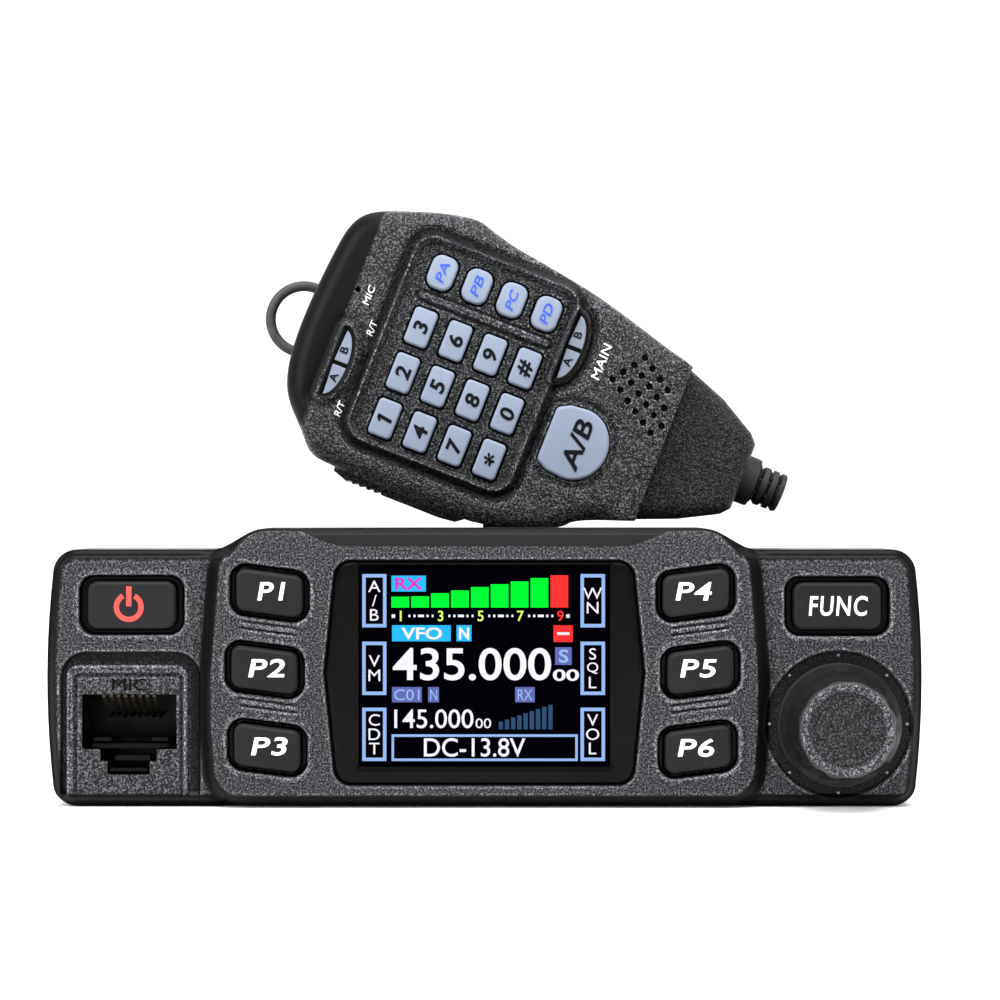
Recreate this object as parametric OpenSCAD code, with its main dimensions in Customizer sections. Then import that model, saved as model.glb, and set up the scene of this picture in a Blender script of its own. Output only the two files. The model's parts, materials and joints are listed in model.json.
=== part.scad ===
/* [Radio body] */
// Width of the front panel across its bowed sides
panel_w = 124; // [122:0.5:126]
// Height of the front panel at its two wings
wing_h = 36.5; // [36.5:0.5:38]
// How far the middle of the panel rises above the wings
bulge_rise = 3; // [2.5:0.5:3.5]
// Depth of the front panel behind its wings
panel_d = 14; // [14:0.5:15]
// How far the centre block stands forward of the wings
centre_rise = 1.5; // [1:0.25:1.5]
// Depth of the chassis behind the front panel
chassis_d = 93; // [90:1:96]
// Thickness of the sheet cover
cover_t = 1.2; // [1:0.1:1.5]

/* [Controls] */
// Travel of the keys on the radio
key_travel = 0.8; // [0.4:0.1:0.9]
// Radius of the knob at its skirt
knob_r = 8.7; // [8:0.1:9]
// Height of the knob in front of the wings
knob_h = 9.6; // [8:0.2:11]
// Radius of the knob's shaft
shaft_r = 3; // [2.5:0.25:3]

/* [Display] */
// Width of the display module
lcd_w = 40.2; // [39:0.2:40.4]
// Height of the display module
lcd_h = 30.3; // [30:0.1:30.4]

/* [Sockets] */
// Radius of the antenna socket's thread
antenna_r = 7.94; // [7.5:0.01:8]
// Width of the plug space in the microphone jack
jack_w = 13.4; // [12:0.1:13.5]
// Radius of the loudspeaker jack's hole
speaker_jack_r = 1.8; // [1.75:0.01:1.9]

/* [Hand microphone] */
// Angle that the microphone leans over from upright
mic_tilt = 68.5; // [65:0.5:70]
// Thickness of the microphone's casing
mic_t = 26; // [25:0.5:28]
// Travel of the keys on the microphone
mic_key_travel = 0.6; // [0.3:0.1:0.8]
// Inner radius of the hanging ring
ring_r = 4.75; // [4.5:0.05:5]
// Radius of the hanging ring's wire
ring_wire_r = 0.87; // [0.7:0.01:0.9]

/* [Hidden] */

$fn = 48;
// Free space between pieces that move apart
gap = 0.3;

// Planes of the radio from front to back
wing_y = -57;
centre_y = wing_y - centre_rise;
skin_y = wing_y + 3;
board_y = -50.4;
chassis_y = wing_y + panel_d;
rear_y = chassis_y + chassis_d;
half_w = panel_w / 2;
side_bow = 1.25;

// Chassis
chassis_half = 59.5;
chassis_h = 33;
wall = 4;
floor_t = 3;
rear_wall = 5;
cover_low_z = chassis_h + cover_t;
cover_high_z = 38;
cover_high_half = 30.5;
post_x = 51;
post_y = [chassis_y + 7, rear_y - 10];
pillar_x = 43;
pillar_y = [chassis_y + 13, rear_y - 22];
pillar_h = 5;
m3_r = 1.5;
flat_head_r = 2.75;
flat_head_h = cover_t;
flat_screw_len = 6;
m26_r = 1.3;
side_hole_r = 1.65;
side_hole_y = [-20, 20];
side_hole_z = 15.5;

// Rear sockets
antenna_x = 36;
socket_z = 18;
antenna_len = 16.6;
dc_x = -33.4;
dc_z = 13;
dc_half = [10.2, 6.2];
phones_x = -17;

// Front openings
window_z = [3.3, 35];
window_half = [21, 22.6];
lcd_z = 19.45;
jack_x = -50.4;
knob_x = 50.1;
knob_z = 11.8;
well_r = 10.35;
key_size = [9.4, 6];
key_recess = [11, 7.2];
side_key_size = [12.4, 6.7];
side_key_recess = [14.8, 8.4];
key_slope = 7.5;
key_foot_back = skin_y + 1.2;
// Centres of the six sloped keys: sideways, up, and the side that they lean to
p_keys = [[-30.3, 30.4, -1], [-31, 19.6, -1], [-30.6, 8.6, -1],
    [29.8, 30.4, 1], [30.45, 19.55, 1], [30.1, 8.4, 1]];
tower_pos = [for (x = [-22.4, 22.4], z = [14.2, 25]) [x, z]];
power_pos = [-49.9, 28.65];
func_pos = [49.9, 28.5];

// Hand microphone, in its own frame: X across, Z up to the ring end, Y into the back
mic_place = [-29.4, -1, 75.6];
mic_split = 14;
mic_wall = 2;
mic_body_end = 63;
mic_tail_end = 75.9;
digit_x = [-12.8, -4.8, 3.2];
key_row = [18.8, 24.9, 31, 37.1];
digit_size = [6.2, 3.9];
side_col_x = 12.8;
oval_size = [5.6, 4.3];
ab_size = [11.95, 10.5];
ab_pos = [-5.3, 49.55];
mic_posts = [[16, 12.6], [-15.8, 12.4], [14, 48.4], [-15.2, 49.6]];
post_r = 2.2;
hang_pos = [-2, 38];
ptt_span = [13.2, 37.2];
ptt_pivot = [-21.9, 34.8];
ptt_y = [5.5, 18.5];
ptt_floor = -19.2;
ptt_pin_r = 0.8;
ring_pos = [-2, -0.9];
ring_y = 15.1;
ring_pin_r = 0.7;
boot_y = 12.5;
key_foot_t = 0.8;
mic_board_y = mic_wall + 2 * key_foot_t + mic_key_travel + 0.8;
// Casing outline: X across, second value down from the ring end
mic_points = [[-8, 0], [0, -0.2], [12, 1], [18.2, 4], [20.1, 8.9], [22.3, 15.3], [23.7, 21.6],
    [21.6, 25.9], [20.5, 34], [19.3, 41.9], [17.2, 50.3], [13.4, mic_body_end],
    [-13.4, mic_body_end], [-16.8, 53.8], [-18.8, 52.3], [-21.2, 47.1], [-23.9, 37.5],
    [-23.2, 13.2], [-22.7, 9.2], [-19.5, 6.5], [-15.2, 1.7]];
// Lamp windows: across, down, width, height
lamp_pos = [[6.35, 43.3, 5.4, 2.2], [11.95, 43.3, 5.4, 2.2], [-10, 8.75, 5.4, 2], [-4.4, 8.75, 5.4, 2]];

// Bracket behind the microphone, round its rear button
hang_world = [mic_place[0] + hang_pos[1] * sin(mic_tilt) + hang_pos[0] * cos(mic_tilt),
    mic_place[2] - hang_pos[1] * cos(mic_tilt) + hang_pos[0] * sin(mic_tilt)];
hanger_y = mic_place[1] + mic_t + 1.2;
hanger_t = 1.5;
hanger_screw_y = [hanger_y + 8, hanger_y + 16];

// A box from its lowest corner to its highest corner
module block(low, high) translate(low) cube(high - low);

// A flat outline in X and Z, from depth y0 back by t
module slab(y0, t) translate([0, y0 + t, 0]) rotate([90, 0, 0]) linear_extrude(t) children();

// A round bar along Y
module rod(x, z, r, y0, y1) translate([x, y1, z]) rotate([90, 0, 0]) cylinder(r = r, h = y1 - y0);

// A rectangle with round corners, about its centre
module round_rect(w, h, r) {
    square([w - 2 * r, h], center = true);
    square([w, h - 2 * r], center = true);
    for (sx = [-1, 1], sz = [-1, 1])
        translate([sx * (w / 2 - r), sz * (h / 2 - r)]) circle(r);
}

// A parallelogram with round corners, whose top and bottom slope down to one side
module sloped_key(w, h, r, side) {
    drop = w / 2 * tan(key_slope) * side;
    offset(r = r, $fn = 24) offset(delta = -r)
        polygon([[-w / 2, -h / 2 - drop], [w / 2, -h / 2 + drop],
            [w / 2, h / 2 + drop], [-w / 2, h / 2 - drop]]);
}

function ease(t) = t * t * (3 - 2 * t);
function bowed(z) = half_w - side_bow * pow(2 * z / wing_h - 1, 2);

module panel_outline() {
    foot = 38.6;
    shoulder = 31;
    steps = 8;
    half = concat(
        [for (i = [0:steps]) [bowed(wing_h * i / steps), wing_h * i / steps]],
        [for (i = [0:steps]) [foot + (shoulder - foot) * i / steps,
            wing_h + bulge_rise * ease(i / steps)]]);
    count = len(half);
    offset(r = 3, $fn = 32) offset(delta = -3)
        polygon(concat(half, [for (i = [0:count - 1]) [-half[count - 1 - i][0], half[count - 1 - i][1]]]));
}

module centre_outline() {
    offset(r = 3, $fn = 32) offset(delta = -3)
        polygon([[-37.2, 2.2], [37.2, 2.2], [38.1, 19], [36.5, 37.4], [31, 39.2],
            [-31, 39.2], [-36.5, 37.4], [-38.1, 19]]);
}

module window_outline(grow) {
    mid = (window_z[0] + window_z[1]) / 2;
    offset(r = 2.5 + grow, $fn = 32) offset(delta = -2.5)
        polygon([[-window_half[0], window_z[0]], [window_half[0], window_z[0]],
            [window_half[1], mid], [window_half[0], window_z[1]],
            [-window_half[0], window_z[1]], [-window_half[1], mid]]);
}

module jack_opening() {
    translate([jack_x - jack_w / 2 + 0.1, 8.2]) square([jack_w, 7.8]);
    translate([jack_x - 4, 6.5]) square([8, 1.8]);
    translate([jack_x - 3, 4.6]) square([6, 2]);
}

// Chassis: a finned tray, open at the top
module chassis() color("#4a4c50") difference() {
    union() {
        difference() {
            block([-chassis_half, chassis_y, 0], [chassis_half, rear_y, chassis_h]);
            block([-chassis_half + wall, chassis_y + 2, floor_t],
                [chassis_half - wall, rear_y - rear_wall, chassis_h + 1]);
        }
        for (sx = [-1, 1], y = post_y) {
            translate([sx * post_x, y, 0]) cylinder(r = wall, h = chassis_h);
            block([min(sx * post_x, sx * (chassis_half - 1)), y - 2, 1],
                [max(sx * post_x, sx * (chassis_half - 1)), y + 2, chassis_h]);
        }
        for (sx = [-1, 1], y = pillar_y)
            translate([sx * pillar_x, y, 1]) cylinder(r = 3, h = floor_t + pillar_h - 1);
        for (sx = [-1, 1], y = side_hole_y)
            translate([sx * (chassis_half - 5), y, side_hole_z]) rotate([0, 90, 0])
                cylinder(r = 4.5, h = 6, center = true);
    }
    // Window for the leads to the front panel
    block([-40, chassis_y - 1, 7], [40, chassis_y + 3, 29]);
    // Fins along both sides
    for (sx = [-1, 1], z = [3.5, 7.7, 21, 25.2])
        block([sx > 0 ? chassis_half - 1.6 : -chassis_half - 1, chassis_y + 4, z],
            [sx > 0 ? chassis_half + 1 : -chassis_half + 1.6, rear_y + 1, z + 2.4]);
    // Upright fins on the rear wall
    for (x = [-8:4:20]) block([x, rear_y - 3, 5], [x + 2.2, rear_y + 1, chassis_h + 1]);
    for (sx = [-1, 1], y = post_y)
        translate([sx * post_x, y, chassis_h - 8]) cylinder(r = m3_r, h = 9);
    for (sx = [-1, 1], y = pillar_y)
        translate([sx * pillar_x, y, floor_t]) cylinder(r = m26_r, h = pillar_h + 1);
    for (sx = [-1, 1], y = side_hole_y)
        translate([sx * (chassis_half - 4), y, side_hole_z]) rotate([0, 90, 0])
            cylinder(r = side_hole_r, h = 12, center = true);
    rod(antenna_x, socket_z, 6.1, rear_y - rear_wall - 1, rear_y + 1);
    block([dc_x - dc_half[0], rear_y - rear_wall - 1, dc_z - dc_half[1]],
        [dc_x + dc_half[0], rear_y + 1, dc_z + dc_half[1]]);
    rod(phones_x, dc_z, 4.05, rear_y - rear_wall - 1, rear_y + 1);
}

// Sheet cover with a raised centre, speaker slots and a closed rear end
module top_cover() color("#3b3c3f") difference() {
    union() {
        slab(chassis_y, chassis_d) polygon([
            [-chassis_half, chassis_h], [-cover_high_half - 2.4 + cover_t, chassis_h],
            [-cover_high_half + cover_t, cover_high_z - cover_t],
            [cover_high_half - cover_t, cover_high_z - cover_t],
            [cover_high_half + 2.4 - cover_t, chassis_h], [chassis_half, chassis_h],
            [chassis_half, cover_low_z], [cover_high_half + 2.4, cover_low_z],
            [cover_high_half, cover_high_z], [-cover_high_half, cover_high_z],
            [-cover_high_half - 2.4, cover_low_z], [-chassis_half, cover_low_z]]);
        slab(rear_y - cover_t, cover_t) polygon([
            [-cover_high_half - 1.5, chassis_h], [cover_high_half + 1.5, chassis_h],
            [cover_high_half - 0.5, cover_high_z - 0.6], [-cover_high_half + 0.5, cover_high_z - 0.6]]);
    }
    for (x = [-12:4:12])
        translate([x, -22, cover_high_z]) {
            cube([1.8, 22, 6], center = true);
            for (sy = [-1, 1]) translate([0, sy * 11, -3]) cylinder(r = 0.9, h = 6);
        }
    for (sx = [-1, 1], y = post_y)
        translate([sx * post_x, y, cover_low_z]) {
            translate([0, 0, -2]) cylinder(r = m3_r + 0.1, h = 2.5);
            flat_head();
        }
    for (y = hanger_screw_y)
        translate([hang_world[0], y, cover_high_z - 3]) cylinder(r = m3_r + 0.1, h = 5);
}

module cross_recess(width, depth) for (a = [0, 90]) rotate([0, 0, a])
    cube([width, 0.5, 2 * depth], center = true);

// One pan-head screw, head up, with a cross recess
module screw(shank_r, head_r, head_h, len) difference() {
    union() {
        translate([0, 0, -len]) cylinder(r = shank_r, h = len + 0.1);
        cylinder(r = head_r, h = head_h);
    }
    translate([0, 0, head_h]) cross_recess(head_r * 1.2, head_h / 2);
}

// The cone of a flat screw's head, which is also its seat
module flat_head() translate([0, 0, -flat_head_h]) cylinder(r1 = m3_r, r2 = flat_head_r, h = flat_head_h);

// One M3 flat-head screw, its head level with the surface
module flat_screw() difference() {
    union() {
        flat_head();
        translate([0, 0, -flat_screw_len]) cylinder(r = m3_r, h = flat_screw_len - 0.5);
    }
    cross_recess(flat_head_r * 1.2, flat_head_h * 0.6);
}

module cover_screws() color("#202124") {
    for (sx = [-1, 1], y = post_y) translate([sx * post_x, y, cover_low_z]) flat_screw();
    for (y = hanger_screw_y) translate([hang_world[0], y, cover_high_z + hanger_t]) flat_screw();
}

// Moulded panel: a shell with recesses, wells and openings
module front_panel() color("#4b4c50") difference() {
    union() {
        difference() {
            slab(wing_y, panel_d) panel_outline();
            slab(skin_y, panel_d) offset(delta = -2.4) panel_outline();
        }
        slab(centre_y, centre_rise + 0.5) centre_outline();
        // Screw towers for the control board
        for (p = tower_pos) rod(p[0], p[1], 1.8, skin_y - 0.5, board_y);
    }
    // Seat of the window and the hole for the display
    slab(centre_y - 1, centre_rise + 1.3) window_outline(0.1);
    translate([0, 0, lcd_z]) slab(centre_y, 10) square([lcd_w + 0.2, lcd_h + 0.2], center = true);
    for (k = p_keys) {
        translate([k[0], 0, k[1]]) slab(centre_y - 1, 2.2)
            sloped_key(key_recess[0], key_recess[1], 1.4, k[2]);
        translate([k[0], 0, k[1]]) slab(centre_y - 1, 12)
            sloped_key(key_size[0] + 2 * gap, key_size[1] + 2 * gap, 1.2, k[2]);
    }
    for (p = [power_pos, func_pos]) {
        translate([p[0], 0, p[1]]) slab(wing_y - 1, 2.2)
            round_rect(side_key_recess[0], side_key_recess[1], 2);
        translate([p[0], 0, p[1]]) slab(wing_y - 1, 12)
            round_rect(side_key_size[0] + 2 * gap, side_key_size[1] + 2 * gap, 1.6);
    }
    rod(knob_x, knob_z, well_r, wing_y - 1, wing_y + 1);
    rod(knob_x, knob_z, 3.6, wing_y - 1, skin_y + 1);
    block([jack_x - 7.65, wing_y - 1, 1.4], [jack_x + 7.65, chassis_y + 1, 18.9]);
    for (p = tower_pos) rod(p[0], p[1], 1, board_y - 4, board_y + 1);
}

module board_screws() color("#c8b27a") {
    for (sx = [-1, 1], y = pillar_y)
        translate([sx * pillar_x, y, floor_t + pillar_h + 1.6]) screw(0.95, 2.1, 1.2, 4.5);
    for (p = tower_pos) translate([p[0], board_y + 1.6, p[1]]) rotate([-90, 0, 0])
        screw(0.95, 2.1, 1.2, 4.5);
}

module display_window() color("#08090b") slab(centre_y + 0.25, 1.5) window_outline(0);

// Display glass in its frame, standing on the control board
module lcd_module() color("#15171c") {
    translate([0, 0, lcd_z]) {
        slab(wing_y + 0.35, 3) square([lcd_w, lcd_h], center = true);
        slab(wing_y + 3.35, board_y - wing_y - 3.35) square([lcd_w - 5, lcd_h - 5], center = true);
    }
}

module control_board() color("#1d5a36") difference() {
    slab(board_y, 1.6) difference() {
        translate([0, 18.2]) square([117, 31], center = true);
        translate([-60, 0]) square([60 + jack_x + 8, 19.4]);
    }
    for (p = tower_pos) rod(p[0], p[1], 1.1, board_y - 1, board_y + 3);
}

// Rubber strips behind the two columns of sloped keys, thick enough to stop them
module key_mat() color("#c9cbd0")
    for (sx = [-1, 1]) translate([sx * 31, 0, 19.4])
        slab(key_foot_back + key_travel + gap, board_y - key_foot_back - key_travel - gap) round_rect(9, 30, 1);

module mic_jack() color("#0f0f10") difference() {
    block([jack_x - 7.5, wing_y, 1.5], [jack_x + 7.5, chassis_y - 0.5, 18.8]);
    slab(wing_y - 1, 12) jack_opening();
    // Slots for the spring wires
    for (i = [0:7]) block([jack_x - 3.85 + i * 1.02, wing_y + 1.5, 15.5],
        [jack_x - 3.35 + i * 1.02, wing_y + 9.5, 17]);
}

module mic_jack_contacts() color("#c9a23f")
    for (i = [0:7]) translate([jack_x - 3.8 + i * 1.02, 0, 0])
        rotate([90, 0, 90]) linear_extrude(0.4) polygon([[wing_y + 1.6, 16.9], [wing_y + 1.6, 16.4],
            [wing_y + 9, 14.6], [wing_y + 9.3, 15], [wing_y + 2.2, 16.9]]);

module rotary_encoder() color("#9a9da2") difference() {
    union() {
        block([knob_x - 6, skin_y + 0.05, knob_z - 6], [knob_x + 6, board_y, knob_z + 6]);
        rod(knob_x, knob_z, 3.5, wing_y - 1, skin_y + 1);
    }
    rod(knob_x, knob_z, shaft_r + 0.05 - 0.5, wing_y - 2, board_y - 1);
}

// Shaft with a waist that turns in the bush
module encoder_shaft() color("#c0c3c7") {
    rod(knob_x, knob_z, shaft_r - 0.5, wing_y - 1.4, board_y - 1.1);
    rod(knob_x, knob_z, shaft_r, wing_y - knob_h + 2.5, wing_y - 1.3);
}

// Knob: a lobed skirt, a cone and a dished face
module knob() color("#1b1c1f") translate([knob_x, wing_y, knob_z]) rotate([90, 0, 0])
    difference() {
        union() {
            difference() {
                translate([0, 0, -0.6]) cylinder(r = knob_r, h = 3.4);
                for (a = [0:45:315]) rotate([0, 0, a + 22.5])
                    translate([knob_r + 2.6, 0, -1]) cylinder(r = 3.3, h = 5);
            }
            translate([0, 0, 2.7]) cylinder(r1 = 7.6, r2 = 6.4, h = knob_h - 2.7);
        }
        translate([0, 0, knob_h + 17.7]) sphere(r = 18.5, $fn = 96);
        translate([0, 0, -1]) cylinder(r = shaft_r + 0.02, h = knob_h - 1.4);
        translate([0, 0, -1]) cylinder(r = 4.2, h = 2.6);
    }

module panel_key(x, z, y0) {
    translate([x, 0, z]) slab(y0 - 0.5, key_foot_back - y0 - 0.5) children(0);
    translate([x, 0, z]) slab(key_foot_back - 1, 1) children(1);
}

module p_key(i) color("#3d3e42") panel_key(p_keys[i][0], p_keys[i][1], centre_y) {
    sloped_key(key_size[0], key_size[1], 1.2, p_keys[i][2]);
    sloped_key(key_size[0] + 1.6, key_size[1] + 1.6, 1.2, p_keys[i][2]);
}

module side_key(p) color("#3a3b3f") panel_key(p[0], p[1], wing_y) {
    round_rect(side_key_size[0], side_key_size[1], 1.6);
    round_rect(side_key_size[0] + 1.6, side_key_size[1] + 1.6, 1.6);
}

module power_button() side_key(power_pos);
module func_button() side_key(func_pos);
module key_p1() p_key(0);
module key_p2() p_key(1);
module key_p3() p_key(2);
module key_p4() p_key(3);
module key_p5() p_key(4);
module key_p6() p_key(5);

module main_board() color("#1d5a36") difference() {
    block([-46, chassis_y + 5, floor_t + pillar_h], [46, rear_y - 15.5, floor_t + pillar_h + 1.6]);
    for (sx = [-1, 1], y = pillar_y)
        translate([sx * pillar_x, y, floor_t]) cylinder(r = 1.1, h = 12);
}

module power_module() color("#2a2b2e")
    block([-9, rear_y - rear_wall - 10, floor_t], [23, rear_y - rear_wall, 19]);

// Loudspeaker: a basket with a dished cone and a magnet
module speaker() color("#55585e") translate([0, -22, cover_high_z - cover_t]) rotate_extrude($fn = 64)
    polygon([[0, -11], [8, -11], [8, -6.5], [16, -2.5], [18, -2.5], [18, 0], [16.5, 0],
        [15.5, -1], [6, -4.5], [0, -3]]);

module antenna_socket() color("#c3c6ca") difference() {
    union() {
        rod(antenna_x, socket_z, 11, rear_y, rear_y + 2);
        rod(antenna_x, socket_z, antenna_r, rear_y + 1, rear_y + antenna_len);
    }
    rod(antenna_x, socket_z, 6, rear_y - 1, rear_y + antenna_len + 1);
}

module antenna_insulator() color("#f0efe9") difference() {
    rod(antenna_x, socket_z, 6, rear_y - rear_wall + 1, rear_y + antenna_len - 4);
    rod(antenna_x, socket_z, 2.6, rear_y - rear_wall, rear_y + antenna_len);
}

module antenna_contact() color("#d8c070") difference() {
    rod(antenna_x, socket_z, 2.6, rear_y - rear_wall - 3, rear_y + antenna_len - 1.5);
    rod(antenna_x, socket_z, 2.02, rear_y + 2, rear_y + antenna_len);
}

// Supply inlet: a plastic shell with two blades
module dc_socket() color("#d9d6cc") {
    difference() {
        block([dc_x - dc_half[0], rear_y - 14, dc_z - dc_half[1]],
            [dc_x + dc_half[0], rear_y + 1, dc_z + dc_half[1]]);
        block([dc_x - 8.8, rear_y - 12, dc_z - 4.8], [dc_x + 8.8, rear_y + 2, dc_z + 4.8]);
    }
    for (sx = [-1, 1]) block([dc_x + sx * 5 - 0.5, rear_y - 13, dc_z - 3],
        [dc_x + sx * 5 + 0.5, rear_y - 2, dc_z + 3]);
}

module speaker_jack() color("#17181a") difference() {
    union() {
        block([phones_x - 5, rear_y - rear_wall - 9, dc_z - 3.35],
            [phones_x + 5, rear_y - rear_wall, dc_z + 5]);
        rod(phones_x, dc_z, 4, rear_y - rear_wall - 1, rear_y + 1.5);
    }
    rod(phones_x, dc_z, speaker_jack_r, rear_y - rear_wall - 7, rear_y + 2);
}

// Pressed bracket: a foot on the cover and an upright with an open slot
module mic_hanger() color("#2b2c2f") difference() {
    union() {
        block([hang_world[0] - 6, hanger_y, cover_high_z],
            [hang_world[0] + 6, hanger_y + 21, cover_high_z + hanger_t]);
        block([hang_world[0] - 6, hanger_y, cover_high_z],
            [hang_world[0] + 6, hanger_y + hanger_t, hang_world[1] - 4]);
        translate([hang_world[0], 0, hang_world[1]]) slab(hanger_y, hanger_t) round_rect(18, 14, 3);
    }
    rod(hang_world[0], hang_world[1], 2.75, hanger_y - 1, hanger_y + 3);
    block([hang_world[0] - 2.75, hanger_y - 1, hang_world[1]],
        [hang_world[0] + 2.75, hanger_y + 3, hang_world[1] + 10]);
    for (y = hanger_screw_y)
        translate([hang_world[0], y, cover_high_z + hanger_t]) {
            translate([0, 0, -2]) cylinder(r = m3_r + 0.1, h = 2.5);
            flat_head();
        }
}

// Moves a piece drawn in the microphone's own frame to its place on the radio
module on_mic() translate(mic_place) rotate([0, -mic_tilt, 0]) children();

module mic_outline(inset) offset(delta = -inset) offset(r = 1.2, $fn = 24) offset(delta = -1.2)
    polygon([for (p = mic_points) [p[0], -p[1]]]);

module ptt_recess() block([-30, ptt_y[0], -ptt_span[1]], [ptt_floor, ptt_y[1], -ptt_span[0]]);

module ring_slot() block([-11.4, mic_split, -6.4], [7.4, mic_split + 2.2, 1]);

module mic_front_shell() color("#1c1c1e") on_mic() difference() {
    union() {
        difference() {
            union() {
                slab(1.4, mic_split - 1.4) mic_outline(0);
                slab(0, 1.5) mic_outline(1.1);
            }
            difference() {
                slab(mic_wall, mic_split) mic_outline(mic_wall);
                block([-30, 0, -ptt_span[1] - 1.6], [ptt_floor + 1.6, mic_split + 1, -ptt_span[0] + 1.6]);
            }
        }
        for (p = mic_posts) rod(p[0], -p[1], post_r, 1, mic_split);
    }
    ptt_recess();
    rod(ptt_pivot[0], -ptt_pivot[1], ptt_pin_r + 0.06, ptt_y[0] - 1.8, ptt_y[0] + 1);
    // Sunk field around the small keys
    translate([0.25, 0, -27.5]) slab(-1, 1.7) round_rect(34.9, 27.8, 3);
    for (x = digit_x, z = key_row)
        translate([x, 0, -z]) slab(-1, 5) round_rect(digit_size[0] + 0.5, digit_size[1] + 0.5, 0.8);
    for (z = key_row)
        translate([side_col_x, 0, -z]) slab(-1, 5) round_rect(oval_size[0] + 0.5, oval_size[1] + 0.5, 1.7);
    translate([ab_pos[0], 0, -ab_pos[1]]) slab(-1, 5) round_rect(ab_size[0] + 0.6, ab_size[1] + 0.6, 3);
    for (p = lamp_pos) translate([p[0], 0, -p[1]]) slab(-1, 5) square([p[2], p[3]], center = true);
    rod(5.2, -7, 0.5, -1, 4);
    for (i = [0:3], j = [0:3])
        rod(12 - 1.19 * i - 1.73 * j, -54.7 - 1.8 * i + 1.21 * j, 0.6, -1, 4);
    for (p = mic_posts) rod(p[0], -p[1], 0.9, mic_split - 8, mic_split + 1);
}

module lamp_lenses() color("#dfe3e8") on_mic()
    for (p = lamp_pos) translate([p[0], 0, -p[1]]) slab(-0.2, 2.2) square([p[2] - 0.04, p[3] - 0.04], center = true);

module mic_back_shell() color("#1c1c1e") on_mic() difference() {
    union() {
        difference() {
            union() {
                slab(mic_split, mic_t - mic_split - 3) mic_outline(0);
                slab(mic_split, mic_t - mic_split - 1.2) mic_outline(1.2);
                slab(mic_split, mic_t - mic_split) mic_outline(3);
            }
            difference() {
                slab(mic_split - 1, mic_t - mic_split - 1) mic_outline(mic_wall + 1);
                block([-30, 0, -ptt_span[1] - 1.6], [ptt_floor + 1.6, mic_t, -ptt_span[0] + 1.6]);
            }
        }
        block([-13, mic_split, -8.4], [9, mic_split + 4, -3]);
        for (p = mic_posts) rod(p[0], -p[1], post_r, mic_split, mic_t - 1);
        rod(hang_pos[0], -hang_pos[1], 4, mic_t - 6, mic_t - 1);
    }
    ptt_recess();
    rod(ptt_pivot[0], -ptt_pivot[1], ptt_pin_r + 0.06, ptt_y[1] - 1, ptt_y[1] + 1.8);
    difference() {
        ring_slot();
        rod(ring_pos[0], -3, ring_pin_r, 0, mic_t);
    }
    for (p = mic_posts) {
        rod(p[0], -p[1], 1.1, mic_split - 1, mic_t + 1);
        rod(p[0], -p[1], 2, mic_t - 2, mic_t + 1);
    }
    rod(hang_pos[0], -hang_pos[1], 1.5, mic_t - 5, mic_t + 1);
}

module mic_tail_cover() color("#1c1c1e") on_mic() difference() {
    slab(2.5, mic_t - 5) polygon([[-12, -mic_body_end], [12, -mic_body_end], [9.6, -69],
        [5.2, -mic_tail_end], [-5.2, -mic_tail_end], [-9.4, -69]]);
    translate([0, boot_y, -mic_tail_end - 1]) cylinder(r = 2.6, h = 20);
    translate([0, boot_y, -mic_tail_end + 4]) cylinder(r = 6, h = 20);
}

module mic_board() color("#1d5a36") on_mic() difference() {
    slab(mic_board_y, 1.4) intersection() {
        mic_outline(3.4);
        translate([-17, -61]) square([40, 58]);
    }
    for (p = mic_posts) rod(p[0], -p[1], post_r + 0.3, 4, 8);
}

module mic_capsule() color("#b8bbc0") on_mic() rod(5.2, -7, 3, mic_wall, 5);

module mic_speaker() color("#55585e") on_mic() difference() {
    rod(7.2, -55.2, 5.3, mic_wall, 5);
    translate([7.2, -4, -55.2]) sphere(r = 7, $fn = 64);
}

module mic_hang_button() color("#26272a") on_mic() {
    rod(hang_pos[0], -hang_pos[1], 1.45, mic_t - 4.5, mic_t + 0.1);
    rod(hang_pos[0], -hang_pos[1], 2.5, mic_t, mic_t + 3.3);
    rod(hang_pos[0], -hang_pos[1], 5, mic_t + 3.2, mic_t + 5);
}

module mic_screws() color("#8f9296") on_mic()
    for (p = mic_posts) translate([p[0], mic_t - 2, -p[1]]) rotate([-90, 0, 0]) screw(0.85, 1.9, 1.3, 14);

// Ribbed strain relief with a hole for the cord
module cable_boot() color("#161617") on_mic() translate([0, boot_y, 0]) difference() {
    union() {
        translate([0, 0, -mic_tail_end - 4.1]) cylinder(r = 4.1, h = 4.1);
        translate([0, 0, -mic_tail_end - 0.1]) cylinder(r = 2.5, h = 4);
        translate([0, 0, -mic_tail_end - 8.9]) cylinder(r = 2.6, h = 5);
        for (i = [0:2]) translate([0, 0, -mic_tail_end - 8.9 + 1.6 * i]) cylinder(r = 3.3, h = 1);
    }
    translate([0, 0, -mic_tail_end - 10]) cylinder(r = 1.6, h = 20);
}

module ptt_bar() color("#1a1a1c") on_mic() {
    difference() {
        block([-24.8, ptt_y[0] + gap, -ptt_span[1] + 0.4], [-20.9, ptt_y[1] - gap, -ptt_span[0] - 0.4]);
        for (i = [0:4]) block([-26, 0, -17 - i * 1.3], [-24.4, mic_t, -16.4 - i * 1.3]);
    }
    rod(ptt_pivot[0], -ptt_pivot[1], ptt_pin_r, ptt_y[0] - 1.5, ptt_y[1] + 1.5);
}

module hang_ring() color("#515357") on_mic() translate([ring_pos[0], ring_y, -ring_pos[1]])
    rotate([90, 0, 0]) rotate_extrude($fn = 64) translate([ring_r + ring_wire_r, 0]) circle(r = ring_wire_r);

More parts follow.
